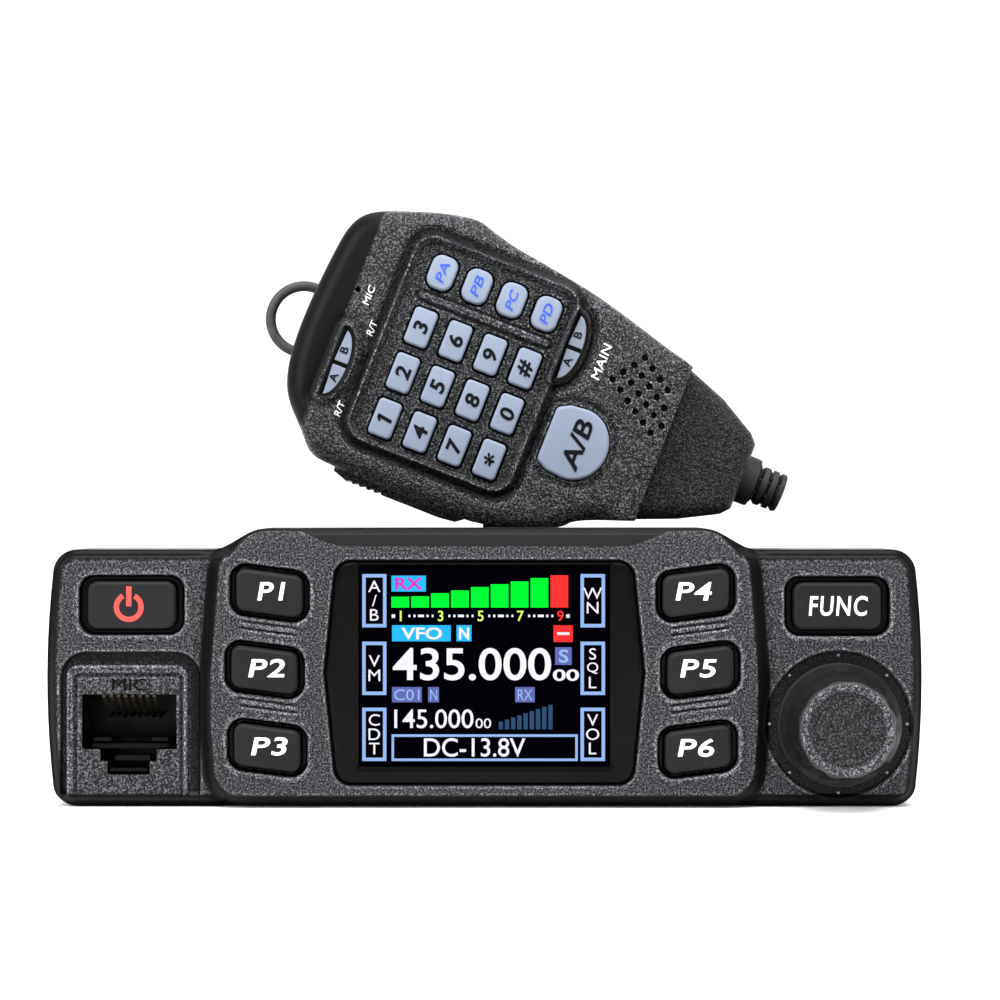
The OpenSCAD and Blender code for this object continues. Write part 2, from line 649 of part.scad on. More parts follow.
// A key of the microphone: a cap and a wider foot behind the casing
module mic_key(x, z, size, r) color("#aab6dc") on_mic() translate([x, 0, -z]) {
    slab(-0.5, 2.9) round_rect(size[0], size[1], r);
    slab(mic_wall + 0.2, key_foot_t) round_rect(size[0] + 0.9, size[1] + 0.9, r);
}

module digit_key(column, row) mic_key(digit_x[column], key_row[row], digit_size, 0.7);
module oval_key(row) mic_key(side_col_x, key_row[row], oval_size, 1.6);

module mic_key_1() digit_key(0, 0);
module mic_key_2() digit_key(1, 0);
module mic_key_3() digit_key(2, 0);
module mic_key_4() digit_key(0, 1);
module mic_key_5() digit_key(1, 1);
module mic_key_6() digit_key(2, 1);
module mic_key_7() digit_key(0, 2);
module mic_key_8() digit_key(1, 2);
module mic_key_9() digit_key(2, 2);
module mic_key_star() digit_key(0, 3);
module mic_key_0() digit_key(1, 3);
module mic_key_hash() digit_key(2, 3);
module mic_key_pa() oval_key(0);
module mic_key_pb() oval_key(1);
module mic_key_pc() oval_key(2);
module mic_key_pd() oval_key(3);
module mic_key_ab() mic_key(ab_pos[0], ab_pos[1], ab_size, 2.8);

chassis();
top_cover();
cover_screws();
front_panel();
board_screws();
display_window();
lcd_module();
control_board();
key_mat();
mic_jack();
mic_jack_contacts();
rotary_encoder();
main_board();
power_module();
speaker();
antenna_socket();
antenna_insulator();
antenna_contact();
dc_socket();
speaker_jack();
mic_hanger();
power_button();
func_button();
key_p1();
key_p2();
key_p3();
key_p4();
key_p5();
key_p6();
knob();
encoder_shaft();
mic_front_shell();
mic_back_shell();
mic_tail_cover();
mic_board();
mic_capsule();
mic_speaker();
mic_hang_button();
mic_screws();
cable_boot();
lamp_lenses();
ptt_bar();
hang_ring();
mic_key_1();
mic_key_2();
mic_key_3();
mic_key_4();
mic_key_5();
mic_key_6();
mic_key_7();
mic_key_8();
mic_key_9();
mic_key_star();
mic_key_0();
mic_key_hash();
mic_key_pa();
mic_key_pb();
mic_key_pc();
mic_key_pd();
mic_key_ab();
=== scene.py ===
import json
import math

import bpy
import numpy as np
from mathutils import Matrix, Vector


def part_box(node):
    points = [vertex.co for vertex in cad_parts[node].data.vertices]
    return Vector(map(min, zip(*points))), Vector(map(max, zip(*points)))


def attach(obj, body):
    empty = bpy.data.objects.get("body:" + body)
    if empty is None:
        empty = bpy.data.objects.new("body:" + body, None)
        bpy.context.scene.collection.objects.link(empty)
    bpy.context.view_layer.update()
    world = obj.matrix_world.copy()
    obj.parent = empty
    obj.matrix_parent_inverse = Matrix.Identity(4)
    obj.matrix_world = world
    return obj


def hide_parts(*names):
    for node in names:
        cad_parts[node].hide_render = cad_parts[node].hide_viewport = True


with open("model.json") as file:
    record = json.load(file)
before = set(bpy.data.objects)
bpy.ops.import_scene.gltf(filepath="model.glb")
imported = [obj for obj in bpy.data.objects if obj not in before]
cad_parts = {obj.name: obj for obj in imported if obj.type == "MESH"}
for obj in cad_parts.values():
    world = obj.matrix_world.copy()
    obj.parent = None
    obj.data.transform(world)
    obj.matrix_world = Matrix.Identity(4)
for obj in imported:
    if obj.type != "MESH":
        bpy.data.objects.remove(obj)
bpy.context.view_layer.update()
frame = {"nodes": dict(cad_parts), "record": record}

MM = 0.001

# ---- places taken from the frame


def low(node):
    return [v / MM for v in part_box(node)[0]]


def high(node):
    return [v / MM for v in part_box(node)[1]]


def middle(node):
    return [(a + b) / 2 for a, b in zip(low(node), high(node))]


CENTRE_RISE = 1.5                                # centre block in front of the wings
WING_Y = low("front_panel")[1] + CENTRE_RISE
PANEL_BACK = high("front_panel")[1]
HALF_W = high("front_panel")[0]
PANEL_TOP = high("front_panel")[2]
BULGE = 3.0
WING_TOP = PANEL_TOP - BULGE
SIDE_BOW = 1.25
KNOB_X, _, KNOB_Z = middle("knob")
KNOB_FRONT = low("knob")[1]
JACK_X = middle("mic_jack")[0]

MOUNTS = {m["name"]: m for m in frame["record"]["mounts"]}
CORD_AXIS = MOUNTS["cord_hole"]["axis"]
CORD_HOLE = Vector((0, 12.5, -78.4))             # middle of the boot's hole, in the microphone's own frame
MIC_TURN = Matrix.Rotation(-math.atan2(CORD_AXIS[0], -CORD_AXIS[2]), 4, "Y")
MIC_ORIGIN = Vector([v / MM for v in MOUNTS["cord_hole"]["pos_m"]]) - MIC_TURN @ CORD_HOLE
MIC = Matrix.Translation(MIC_ORIGIN) @ MIC_TURN
MIC_T = 26.0
MIC_SPLIT = 14.0


def on_mic(node):
    """Middle of a node in the microphone's frame: across and up."""
    p = MIC.inverted() @ Vector(middle(node))
    return p.x, p.z


# ---- shader helpers


def new_material(name):
    mat = bpy.data.materials.new(name)
    mat.use_nodes = True
    tree = mat.node_tree
    return mat, tree, tree.nodes["Principled BSDF"]


def node_of(tree, kind, **values):
    n = tree.nodes.new(kind)
    for key, value in values.items():
        if key in n.inputs:
            n.inputs[key].default_value = value
        else:
            setattr(n, key, value)
    return n


def coordinates(tree):
    return node_of(tree, "ShaderNodeTexCoord").outputs["Object"]


def ramp(tree, source, stops):
    n = tree.nodes.new("ShaderNodeValToRGB")
    tree.links.new(source, n.inputs["Fac"])
    while len(n.color_ramp.elements) < len(stops):
        n.color_ramp.elements.new(0.5)
    for element, (place, colour) in zip(n.color_ramp.elements, stops):
        element.position = place
        element.color = (*colour, 1) if len(colour) == 3 else colour
    return n.outputs["Color"]


def grey(v):
    return (v, v, v)


def noise(tree, scale, detail=2.0, roughness=0.5):
    n = node_of(tree, "ShaderNodeTexNoise", Scale=scale, Detail=detail, Roughness=roughness)
    tree.links.new(coordinates(tree), n.inputs["Vector"])
    return n.outputs["Fac"]


def bump(tree, height, distance, strength=1.0, under=None):
    n = node_of(tree, "ShaderNodeBump", Distance=distance, Strength=strength)
    tree.links.new(height, n.inputs["Height"])
    if under is not None:
        tree.links.new(under, n.inputs["Normal"])
    return n.outputs["Normal"]


def mix_colour(tree, factor, a, b, blend="MIX"):
    """Factor, a and b are numbers, colours or links; the numbered sockets are the ones for colours."""
    n = node_of(tree, "ShaderNodeMix", data_type="RGBA", blend_type=blend)
    for socket, value in ((n.inputs[0], factor), (n.inputs[6], a), (n.inputs[7], b)):
        if isinstance(value, tuple):
            socket.default_value = (*value, 1)
        elif isinstance(value, float):
            socket.default_value = value
        else:
            tree.links.new(value, socket)
    return n.outputs[2]


def mix_value(tree, factor, a, b):
    n = node_of(tree, "ShaderNodeMapRange")
    n.inputs["To Min"].default_value = a
    n.inputs["To Max"].default_value = b
    tree.links.new(factor, n.inputs["Value"])
    return n.outputs["Result"]


def multiply(tree, a, b):
    return mix_colour(tree, 1.0, a, b, "MULTIPLY")


def mesh_value(tree, name):
    """polish is 1 on smooth bands; edge runs from 0 in a crease through 0.5 on the flat to 1 on a ridge, and drives
    painted shade in creases and a painted highlight on ridges.
    """
    return node_of(tree, "ShaderNodeAttribute", attribute_name=name).outputs["Fac"]


def moulded(name, base, painted_glint_level, grain, grain_depth, rough, gloss_colour=0.004, gloss_rough=0.24, specular=0.1):
    """Textured plastic, with polished bands where the mesh says so. Its light flecks are painted glints on the grain,
    and the edge mark paints highlights on ridges and shade in creases.
    """
    mat, tree, shader = new_material(name)
    mask = mesh_value(tree, "polish")
    tree.links.new(mix_value(tree, mask, specular, min(specular, 0.08)), shader.inputs["Specular IOR Level"])
    fine = noise(tree, grain, 2.0, 0.6)
    coarse = noise(tree, grain * 0.35, 2.0, 0.5)
    # Grain tone with painted glints: the top level stands for light caught on the grain
    levels = ((0.40, base * 0.4), (0.50, base), (0.57, base * 0.4 + painted_glint_level * 0.5), (0.66, painted_glint_level))
    stops = [(at, (level * 0.96, level * 0.98, level * 1.07)) for at, level in levels]
    grain_with_painted_glints = ramp(tree, fine, stops)
    # Painted highlight where the moulding turns over an edge, painted shade in its creases
    stops = [(0.0, grey(0.35)), (0.42, grey(0.9)), (0.58, grey(1.1)), (1.0, grey(3.0))]
    painted_highlight_and_shade = ramp(tree, mesh_value(tree, "edge"), stops)
    colour = mix_colour(tree, mask, multiply(tree, grain_with_painted_glints, painted_highlight_and_shade), multiply(tree, painted_highlight_and_shade, grey(gloss_colour)))
    tree.links.new(colour, shader.inputs["Base Color"])
    tree.links.new(mix_value(tree, mask, rough, gloss_rough), shader.inputs["Roughness"])
    strength = mix_value(tree, mask, 1.0, 0.04)
    first = bump(tree, coarse, grain_depth * 1.5)
    second = bump(tree, fine, grain_depth, under=first)
    for link in (first, second):
        tree.links.new(strength, link.node.inputs["Strength"])
    tree.links.new(second, shader.inputs["Normal"])
    return mat


def plain(name, colour, rough, metal=0.0, vary=0.15, grain=900.0, depth=0.00002, coat=0.0, emit=None, specular=0.25):
    """A finish with slight variation in colour and gloss and a fine surface grain."""
    mat, tree, shader = new_material(name)
    cloud = noise(tree, 60, 3.0)
    dark = tuple(c * (1 - vary) for c in colour)
    light = tuple(min(1.0, c * (1 + vary)) for c in colour)
    tree.links.new(ramp(tree, cloud, [(0.35, dark), (0.65, light)]), shader.inputs["Base Color"])
    shader.inputs["Metallic"].default_value = metal
    shader.inputs["Specular IOR Level"].default_value = specular
    fine = noise(tree, grain, 2.0)
    tree.links.new(mix_value(tree, fine, max(rough - 0.06, 0.02), rough + 0.06), shader.inputs["Roughness"])
    tree.links.new(bump(tree, fine, depth), shader.inputs["Normal"])
    shader.inputs["Coat Weight"].default_value = coat
    if emit:
        shader.inputs["Emission Color"].default_value = (*emit[0], 1)
        shader.inputs["Emission Strength"].default_value = emit[1]
    return mat


PANEL_PLASTIC = moulded("panel_plastic", 0.020, 0.115, 4000, 0.00012, 0.5, gloss_colour=0.003, specular=0.05)
MIC_PLASTIC = moulded("mic_plastic", 0.002, 0.12, 3300, 0.0004, 0.33, 0.0015, 0.42, specular=0.22)
TAIL_PLASTIC = moulded("tail_plastic", 0.002, 0.055, 3600, 0.0003, 0.4, specular=0.15)
KEY_PLASTIC = plain("key_plastic", (0.009, 0.0095, 0.0105), 0.5, depth=0.00001, specular=0.1)
BLACK_GLOSS = plain("black_gloss", (0.002, 0.002, 0.002), 0.25, depth=0.000004, specular=0.06)
BLACK_SATIN = plain("black_satin", (0.010, 0.010, 0.011), 0.4)
# Painted light: the white and red print is given a faint glow
LEGEND_WHITE = plain("legend_white", (0.86, 0.86, 0.86), 0.45, vary=0.03, emit=((1, 1, 1), 0.25))
LEGEND_RED = plain("legend_red", (0.75, 0.05, 0.04), 0.45, vary=0.03, emit=((1, 0.05, 0.04), 0.15))
LEGEND_BLACK = plain("legend_black", (0.006, 0.006, 0.008), 0.5, vary=0.03, specular=0.04)
LEGEND_BLUE = plain("legend_blue", (0.035, 0.08, 0.60), 0.5, vary=0.03, specular=0.04)
PALE_KEY = plain("pale_key", (0.185, 0.22, 0.29), 0.5, vary=0.04, depth=0.00001)
LENS = plain("lens", (0.17, 0.195, 0.25), 0.25, vary=0.05, coat=0.3)
RING_STEEL = plain("ring_steel", (0.06, 0.06, 0.065), 0.5, metal=0.6, vary=0.5, grain=2500, depth=0.00006)
BOOT_VINYL = plain("boot_vinyl", (0.014, 0.014, 0.015), 0.5, grain=1500, depth=0.00005)

# ---- mesh helpers

FACE_PITCH = 0.18         # grid of the large moulded faces


def ease(t):
    t = np.clip(t, 0, 1)
    return t * t * (3 - 2 * t)


def bell(d, at, width):
    """A rounded ridge, 1 high where d = at."""
    return np.exp(-((d - at) / width) ** 2)


def roll_off(t):
    """A quarter round: 1 at the edge, t = 0, falling to 0 at t = 1."""
    return 1 - np.sqrt(np.clip(1 - (1 - np.clip(t, 0, 1)) ** 2, 0, 1))


def strongest(*layers):
    return np.maximum.reduce(np.broadcast_arrays(*layers))


def inset(points, amount):
    """The outline moved inwards; points run anticlockwise."""
    out = []
    count = len(points)
    for i, (x, z) in enumerate(points):
        ax, az = points[i - 1]
        bx, bz = points[(i + 1) % count]
        n1 = np.array([z - az, ax - x]) / math.hypot(x - ax, z - az)
        n2 = np.array([bz - z, x - bx]) / math.hypot(bx - x, bz - z)
        shift = (n1 + n2) / (1 + n1 @ n2)
        out.append((x - shift[0] * amount, z - shift[1] * amount))
    return out


def smooth(points, rounds):
    """Corners cut back again and again until the outline runs smoothly; a point given twice stays sharp."""
    for _ in range(rounds):
        points = [(a[0] + (b[0] - a[0]) * t, a[1] + (b[1] - a[1]) * t)
                  for a, b in zip(points, points[1:] + points[:1]) for t in (0.25, 0.75)]
    return [p for p, q in zip(points, points[1:] + points[:1]) if math.dist(p, q) > 0.01]


def outline_distance(points, radius=0.0):
    """Distance to an outline with rounded corners, negative inside, as a function of x and z."""
    pts = np.array(inset(points, radius) if radius else points, float)

    def distance(x, z):
        best = np.full(np.shape(x), 1e9)
        inside = np.zeros(np.shape(x), bool)
        for (ax, az), (bx, bz) in zip(pts, np.roll(pts, -1, axis=0)):
            ex, ez = bx - ax, bz - az
            wx, wz = x - ax, z - az
            t = np.clip((wx * ex + wz * ez) / (ex * ex + ez * ez), 0, 1)
            best = np.minimum(best, (wx - t * ex) ** 2 + (wz - t * ez) ** 2)
            crosses = (az <= z) != (bz <= z)
            with np.errstate(divide="ignore", invalid="ignore"):
                left = ex * (z - az) / ez + ax > x if ez else np.zeros(np.shape(x), bool)
            inside ^= crosses & left
        return np.where(inside, -1, 1) * np.sqrt(best) - radius

    return distance


def box_points(x, z, w, h, slope=0.0):
    """Corners of a rectangle, or of a parallelogram whose top and bottom rise by slope to the right."""
    rise = w / 2 * slope
    return [(x - w / 2, z - h / 2 - rise), (x + w / 2, z - h / 2 + rise),
            (x + w / 2, z + h / 2 + rise), (x - w / 2, z + h / 2 - rise)]


def round_box(x, z, w, h, r, slope=0.0):
    return outline_distance(box_points(x, z, w, h, slope), r)


def link(mesh, name, body, slot, material, stands_for=()):
    piece = bpy.data.objects.new(name, mesh)
    bpy.context.scene.collection.objects.link(piece)
    for m in material if isinstance(material, (list, tuple)) else [material]:
        mesh.materials.append(m)
    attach(piece, body)
    if stands_for:
        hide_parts(*stands_for)
    return piece


def placed(points, place):
    if place is None:
        return points
    m = np.array(place)
    return points @ m[:3, :3].T + m[:3, 3]


def make_mesh(name, verts, faces, place=None, marks=None, angle=35.0):
    """A mesh in metres from points in millimetres, with edges kept sharp past the angle."""
    pts = placed(np.asarray(verts, float), place)
    mesh = bpy.data.meshes.new(name)
    mesh.from_pydata((pts * MM).tolist(), [], faces)
    for attribute, values in (marks or {}).items():
        layer = mesh.attributes.new(attribute, "FLOAT", "POINT")
        layer.data.foreach_set("value", np.asarray(values, np.float32))
    mesh.validate()
    mesh.polygons.foreach_set("use_smooth", [True] * len(mesh.polygons))
    mesh.set_sharp_from_angle(angle=math.radians(angle))
    mesh.update()
    return mesh


def add_piece(name, verts, faces, body, slot, material, stands_for=(), **shape):
    return link(make_mesh(name, verts, faces, **shape), name, body, slot, material, stands_for)


def loop_quads(first, second, count):
    """Quads between two rings of points."""
    return [[first + k, second + k, second + (k + 1) % count, first + (k + 1) % count] for k in range(count)]


def join(parts):
    verts, faces = [], []
    for v, f in parts:
        faces += [[i + len(verts) for i in face] for face in f]
        verts += v
    return verts, faces


def block(x0, y0, z0, x1, y1, z1):
    verts = [(x, y, z) for y in (y0, y1) for x, z in ((x0, z0), (x1, z0), (x1, z1), (x0, z1))]
    return verts, [[0, 1, 2, 3], [7, 6, 5, 4]] + loop_quads(0, 4, 4)


def relief(domain, height, area, pitch, edge, holes=None, hole_edge=(), polish=None, back=False):
    """A moulded face as points and faces: x across, z up, y = -height, cut along domain = 0.

    edge lists (inset, y) steps that carry the outline back; hole_edge lists y steps for holes.
    back closes the last step with one face."""
    x0, x1, z0, z1 = area
    xs = np.linspace(x0, x1, int(round((x1 - x0) / pitch)) + 1)
    zs = np.linspace(z0, z1, int(round((z1 - z0) / pitch)) + 1)
    X, Z = np.meshgrid(xs, zs)

    def cut(x, z):
        return np.maximum(domain(x, z), -holes(x, z)) if holes else domain(x, z)

    cx = (X[:-1, :-1] + X[1:, 1:]) / 2
    cz = (Z[:-1, :-1] + Z[1:, 1:]) / 2
    keep = cut(cx, cz) <= 0
    index = np.arange(X.size).reshape(X.shape)
    j, i = np.nonzero(keep)
    quads = np.stack([index[j, i], index[j, i + 1], index[j + 1, i + 1], index[j + 1, i]], axis=1)
    used = np.unique(quads)
    number = np.full(X.size, -1)
    number[used] = np.arange(len(used))
    quads = number[quads]
    px, pz = X.ravel()[used], Z.ravel()[used]
    # Edges used once are the outline and the rims of the holes
    edges = np.concatenate([quads[:, [0, 1]], quads[:, [1, 2]], quads[:, [2, 3]], quads[:, [3, 0]]])
    keys = np.sort(edges, axis=1)
    _, first, counts = np.unique(keys, axis=0, return_index=True, return_counts=True)
    rim = edges[first[counts == 1]]
    rim_points = np.unique(rim)
    step = 0.02
    for _ in range(4):
        x, z = px[rim_points], pz[rim_points]
        d = cut(x, z)
        gx = (cut(x + step, z) - cut(x - step, z)) / (2 * step)
        gz = (cut(x, z + step) - cut(x, z - step)) / (2 * step)
        size = np.maximum(gx * gx + gz * gz, 0.2)
        px[rim_points] = x - d * gx / size
        pz[rim_points] = z - d * gz / size
    h = height(px, pz)
    points = [np.stack([px, -h, pz], axis=1)]
    mask = [polish(px, pz) if polish else np.zeros(len(px))]
    # Curvature of the face, kept as the edge mark: the moulded finishes turn it into a painted highlight on ridges
    # and painted shade in creases
    reach = 0.22
    bend = 4 * h - sum(height(px + i, pz + j) for i, j in ((reach, 0), (-reach, 0), (0, reach), (0, -reach)))
    painted_light_marks = [np.clip(0.5 + bend * 2.2, 0, 1)]
    faces = quads.tolist()
    outer = domain(px[rim_points], pz[rim_points]) > -pitch * 0.4
    offset = len(px)
    for chosen, steps in ((rim_points[outer], edge), (rim_points[~outer], [(0, y) for y in hole_edge])):
        if not len(chosen) or not steps:
            continue
        belongs = np.zeros(len(px), bool)
        belongs[chosen] = True
        ring_edges = rim[belongs[rim[:, 0]] & belongs[rim[:, 1]]]
        x, z = px[chosen], pz[chosen]
        gx = (domain(x + step, z) - domain(x - step, z)) / (2 * step)
        gz = (domain(x, z + step) - domain(x, z - step)) / (2 * step)
        size = np.maximum(np.hypot(gx, gz), 0.3)
        previous = np.full(len(px), -1)
        previous[chosen] = chosen
        for amount, y in steps:
            current = np.full(len(px), -1)
            current[chosen] = offset + np.arange(len(chosen))
            offset += len(chosen)
            level = np.full(len(x), float(y))
            points.append(np.stack([x - gx / size * amount, level, z - gz / size * amount], axis=1))
            mask.append(np.full(len(x), 1.0 if polish else 0.0))
            painted_light_marks.append(np.full(len(x), 0.5))
            a, b = ring_edges[:, 0], ring_edges[:, 1]
            faces += np.stack([previous[b], previous[a], current[a], current[b]], axis=1).tolist()
            previous = current
        if back and steps is edge:
            follow = dict(ring_edges.tolist())
            start = int(ring_edges[0, 0])
            loop, at = [start], follow[start]
            while at != start:
                loop.append(at)
                at = follow[at]
            faces.append([int(previous[v]) for v in reversed(loop)])
    return np.concatenate(points), faces, {"polish": np.concatenate(mask), "edge": np.concatenate(painted_light_marks)}


def revolve(profile, count, wobble=None):
    """Points and faces of a turned shape: profile lists (radius, distance forward), about the Y axis."""
    verts, faces = [], []
    for r, d in profile:
        for s in range(count):
            a = 2 * math.pi * s / count
            radius = r + (wobble(a, r, d) if wobble else 0.0)
            verts.append((radius * math.cos(a), -d, radius * math.sin(a)))
    for k in range(len(profile) - 1):
        for s in range(count):
            t = (s + 1) % count
            faces.append([k * count + s, k * count + t, (k + 1) * count + t, (k + 1) * count + s])
    return verts, faces


def text_mesh(words, box, place, material, name, body, slot, slant=0.0, weight=0.0, thick=0.06, widen=None,
              spacing=1.0, surface=None):
    """Lettering fitted into box = (left, right, bottom, top, y), in millimetres.

    With widen, only its height is fitted, and its own width is scaled by widen about the middle.
    With surface, a height over x and z, it lies on that and y is how far it stands off."""
    curve = bpy.data.curves.new(name, "FONT")
    curve.body = words
    curve.size = 1.0
    curve.shear = slant
    curve.space_character = spacing
    curve.offset = weight
    curve.extrude = 0.02
    curve.resolution_u = 6
    holder = bpy.data.objects.new(name + "_curve", curve)
    bpy.context.scene.collection.objects.link(holder)
    bpy.context.view_layer.update()
    mesh = bpy.data.meshes.new_from_object(holder.evaluated_get(bpy.context.evaluated_depsgraph_get()))
    bpy.data.objects.remove(holder)
    co = np.empty(len(mesh.vertices) * 3)
    mesh.vertices.foreach_get("co", co)
    co = co.reshape(-1, 3)
    lo, hi = co.min(axis=0), co.max(axis=0)
    unit = (co - lo) / np.maximum(hi - lo, 1e-9)
    left, right, bottom, top, y = box
    if widen:
        half = widen * (top - bottom) * (hi[0] - lo[0]) / (hi[1] - lo[1]) / 2
        left, right = (left + right) / 2 - half, (left + right) / 2 + half
    x, z = left + unit[:, 0] * (right - left), bottom + unit[:, 1] * (top - bottom)
    if surface:
        y = y - surface(x, z)
    pts = np.stack([x, y - unit[:, 2] * thick, z], axis=1)
    pts = placed(pts, place)
    mesh.vertices.foreach_set("co", (pts * MM).ravel())
    mesh.update()
    mesh.name = name
    return link(mesh, name, body, slot, material)


# ---- camera, light, floor

CAMERA_DISTANCE = 360.0                          # from the face of the wings
CAMERA_X = 2.2
CAMERA_Z = 43.5
LENS_MM = 91.7


def add_camera():
    data = bpy.data.cameras.new("camera")
    data.lens = LENS_MM
    data.sensor_width = 36.0
    data.clip_start = 0.01
    data.clip_end = 20.0
    camera = bpy.data.objects.new("camera", data)
    camera.location = (CAMERA_X * MM, (WING_Y - CAMERA_DISTANCE) * MM, CAMERA_Z * MM)
    camera.rotation_euler = (math.pi / 2, 0, 0)
    bpy.context.scene.collection.objects.link(camera)
    bpy.context.scene.camera = camera


def add_light(name, place, aim, size, power):
    data = bpy.data.lights.new(name, "AREA")
    data.shape = "RECTANGLE"
    data.size, data.size_y = size
    data.energy = power
    lamp = bpy.data.objects.new(name, data)
    lamp.location = place
    lamp.rotation_euler = (Vector(aim) - Vector(place)).to_track_quat("-Z", "Y").to_euler()
    bpy.context.scene.collection.objects.link(lamp)


def add_studio():
    world = bpy.data.worlds.new("studio")
    world.use_nodes = True
    background = world.node_tree.nodes["Background"]
    background.inputs["Color"].default_value = (1, 1, 1, 1)
    background.inputs["Strength"].default_value = 0.65
    bpy.context.scene.world = world
    bpy.context.scene.view_settings.view_transform = "Standard"
    add_light("top", (0.0, -0.25, 0.7), (0, 0, 0.03), (0.6, 0.3), 7.0)
    add_light("left", (-0.8, -0.35, 0.45), (0, -0.05, 0.03), (0.25, 0.6), 6.0)
    add_light("right", (0.8, -0.35, 0.5), (0, -0.05, 0.03), (0.25, 0.6), 4.0)
    add_light("brow", (0.0, -0.17, 0.17), (0, -0.05, 0.03), (0.24, 0.06), 0.3)
    add_light("backdrop", (0.0, 0.4, 1.4), (0, 1.6, 0.5), (1.6, 0.6), 22.0)
    # Floor that sweeps up into the backdrop
    reach, bend = 3.0, 1.2
    profile = [(-reach, 0.0), (0.8, 0.0)]
    profile += [(0.8 + bend * math.sin(a), bend * (1 - math.cos(a))) for a in np.linspace(0, math.pi / 2, 17)[1:]]
    profile.append((0.8 + bend, 3.0))
    verts = [(x, y, z) for y, z in profile for x in (-reach, reach)]
    faces = [[2 * k, 2 * k + 1, 2 * k + 3, 2 * k + 2] for k in range(len(profile) - 1)]
    mesh = bpy.data.meshes.new("floor")
    mesh.from_pydata(verts, [], faces)
    mesh.polygons.foreach_set("use_smooth", [True] * len(mesh.polygons))
    mat, tree, shader = new_material("floor")
    tree.links.new(ramp(tree, noise(tree, 2.0), [(0.3, grey(0.86)), (0.7, grey(0.9))]), shader.inputs["Base Color"])
    shader.inputs["Roughness"].default_value = 0.9
    mesh.materials.append(mat)
    floor = bpy.data.objects.new("floor", mesh)
    bpy.context.scene.collection.objects.link(floor)


add_camera()
add_studio()

# ---- front panel

KEY_SLOPE = math.tan(math.radians(7.5))
P_KEY_SIZE, P_KEY_HOLE, P_KEY_PIT = (9.4, 6.0, 1.3), (10.0, 6.5, 1.5), (11.3, 7.5, 2.3)      # width, height, corner
SIDE_KEY_SIZE, SIDE_KEY_HOLE, SIDE_KEY_PIT = (12.4, 6.7, 1.4), (13.0, 7.2, 1.7), (14.8, 8.4, 2.0)
P_KEYS = {}
for number in range(1, 7):
    node = "key_p%d" % number
    x, _, z = middle(node)
    P_KEYS[node] = (x, z, -KEY_SLOPE if x < 0 else KEY_SLOPE)
SIDE_KEYS = {node: (middle(node)[0], middle(node)[2]) for node in ("power_button", "func_button")}
WINDOW = [(-21, 3.3), (21, 3.3), (22.6, 19.15), (21, 35), (-21, 35), (-22.6, 19.15)]
window_distance = outline_distance(WINDOW, 2.5)
LCD_CENTRE_Z = 20.1
LCD_W, LCD_H = 35.0, 28.0


def panel_points():
    """The panel's outline: bowed sides, level wings and a bulge between S-curves."""
    steps = 12
    foot, shoulder = 38.6, 31.0
    side = [(HALF_W - SIDE_BOW * (2 * t / steps - 1) ** 2, WING_TOP * t / steps) for t in range(steps + 1)]
    flank = [(foot + (shoulder - foot) * t / steps, WING_TOP + BULGE * float(ease(t / steps)))
             for t in range(steps + 1)]
    right = side + flank
    return right + [(-x, z) for x, z in reversed(right)]


panel_distance = outline_distance(panel_points(), 3.4)
centre_distance = outline_distance(
    [(-37.4, 2.2), (37.4, 2.2), (38.1, 12), (38.1, 19), (36.9, 34), (33.0, 42), (-33.0, 42), (-36.9, 34),
     (-38.1, 19), (-38.1, 12)], 3.6)
jack_block = outline_distance(box_points(JACK_X - 0.05, 8.0, 15.3, 21.8), 0.8)
jack_ridge = outline_distance(box_points(JACK_X - 0.25, 8.0, 17.1, 24.2), 1.6)
jack_channel = outline_distance(box_points(JACK_X + 0.3, 8.0, 19.8, 28.0), 3.6)
key_pits = [round_box(x, z, *P_KEY_PIT, slope) for x, z, slope in P_KEYS.values()]
key_holes = [round_box(x, z, *P_KEY_HOLE, slope) for x, z, slope in P_KEYS.values()]
side_pits = [round_box(x, z, *SIDE_KEY_PIT) for x, z in SIDE_KEYS.values()]
side_holes = [round_box(x, z, *SIDE_KEY_HOLE) for x, z in SIDE_KEYS.values()]
JACK_STEPS = [(JACK_X - 6.6, 16.0), (JACK_X - 6.6, 8.2), (JACK_X - 4.0, 8.2), (JACK_X - 4.0, 6.5),
              (JACK_X - 3.0, 6.5), (JACK_X - 3.0, 4.6), (JACK_X + 3.0, 4.6), (JACK_X + 3.0, 6.5),
              (JACK_X + 4.0, 6.5), (JACK_X + 4.0, 8.2), (JACK_X + 6.8, 8.2), (JACK_X + 6.8, 16.0)]
jack_mouth = outline_distance(JACK_STEPS)
WELL_R = 10.35                                   # round the knob
BUSHING_HOLE_R = 3.6
SCOOP_HALF = 29                                  # half width of the bevel over the display


def scoop_line(x):
    """Top edge of the textured face, which dips over the display."""
    return 36.9 + 2.6 * ease((np.abs(x) - 19.5) / 9.0)


def border_width(x, z):
    """Rounded border of the panel, narrower along the top of the centre block."""
    return 1.5 - 0.95 * ease(-centre_distance(x, z) / 1.5) * ease((z - 30) / 4)


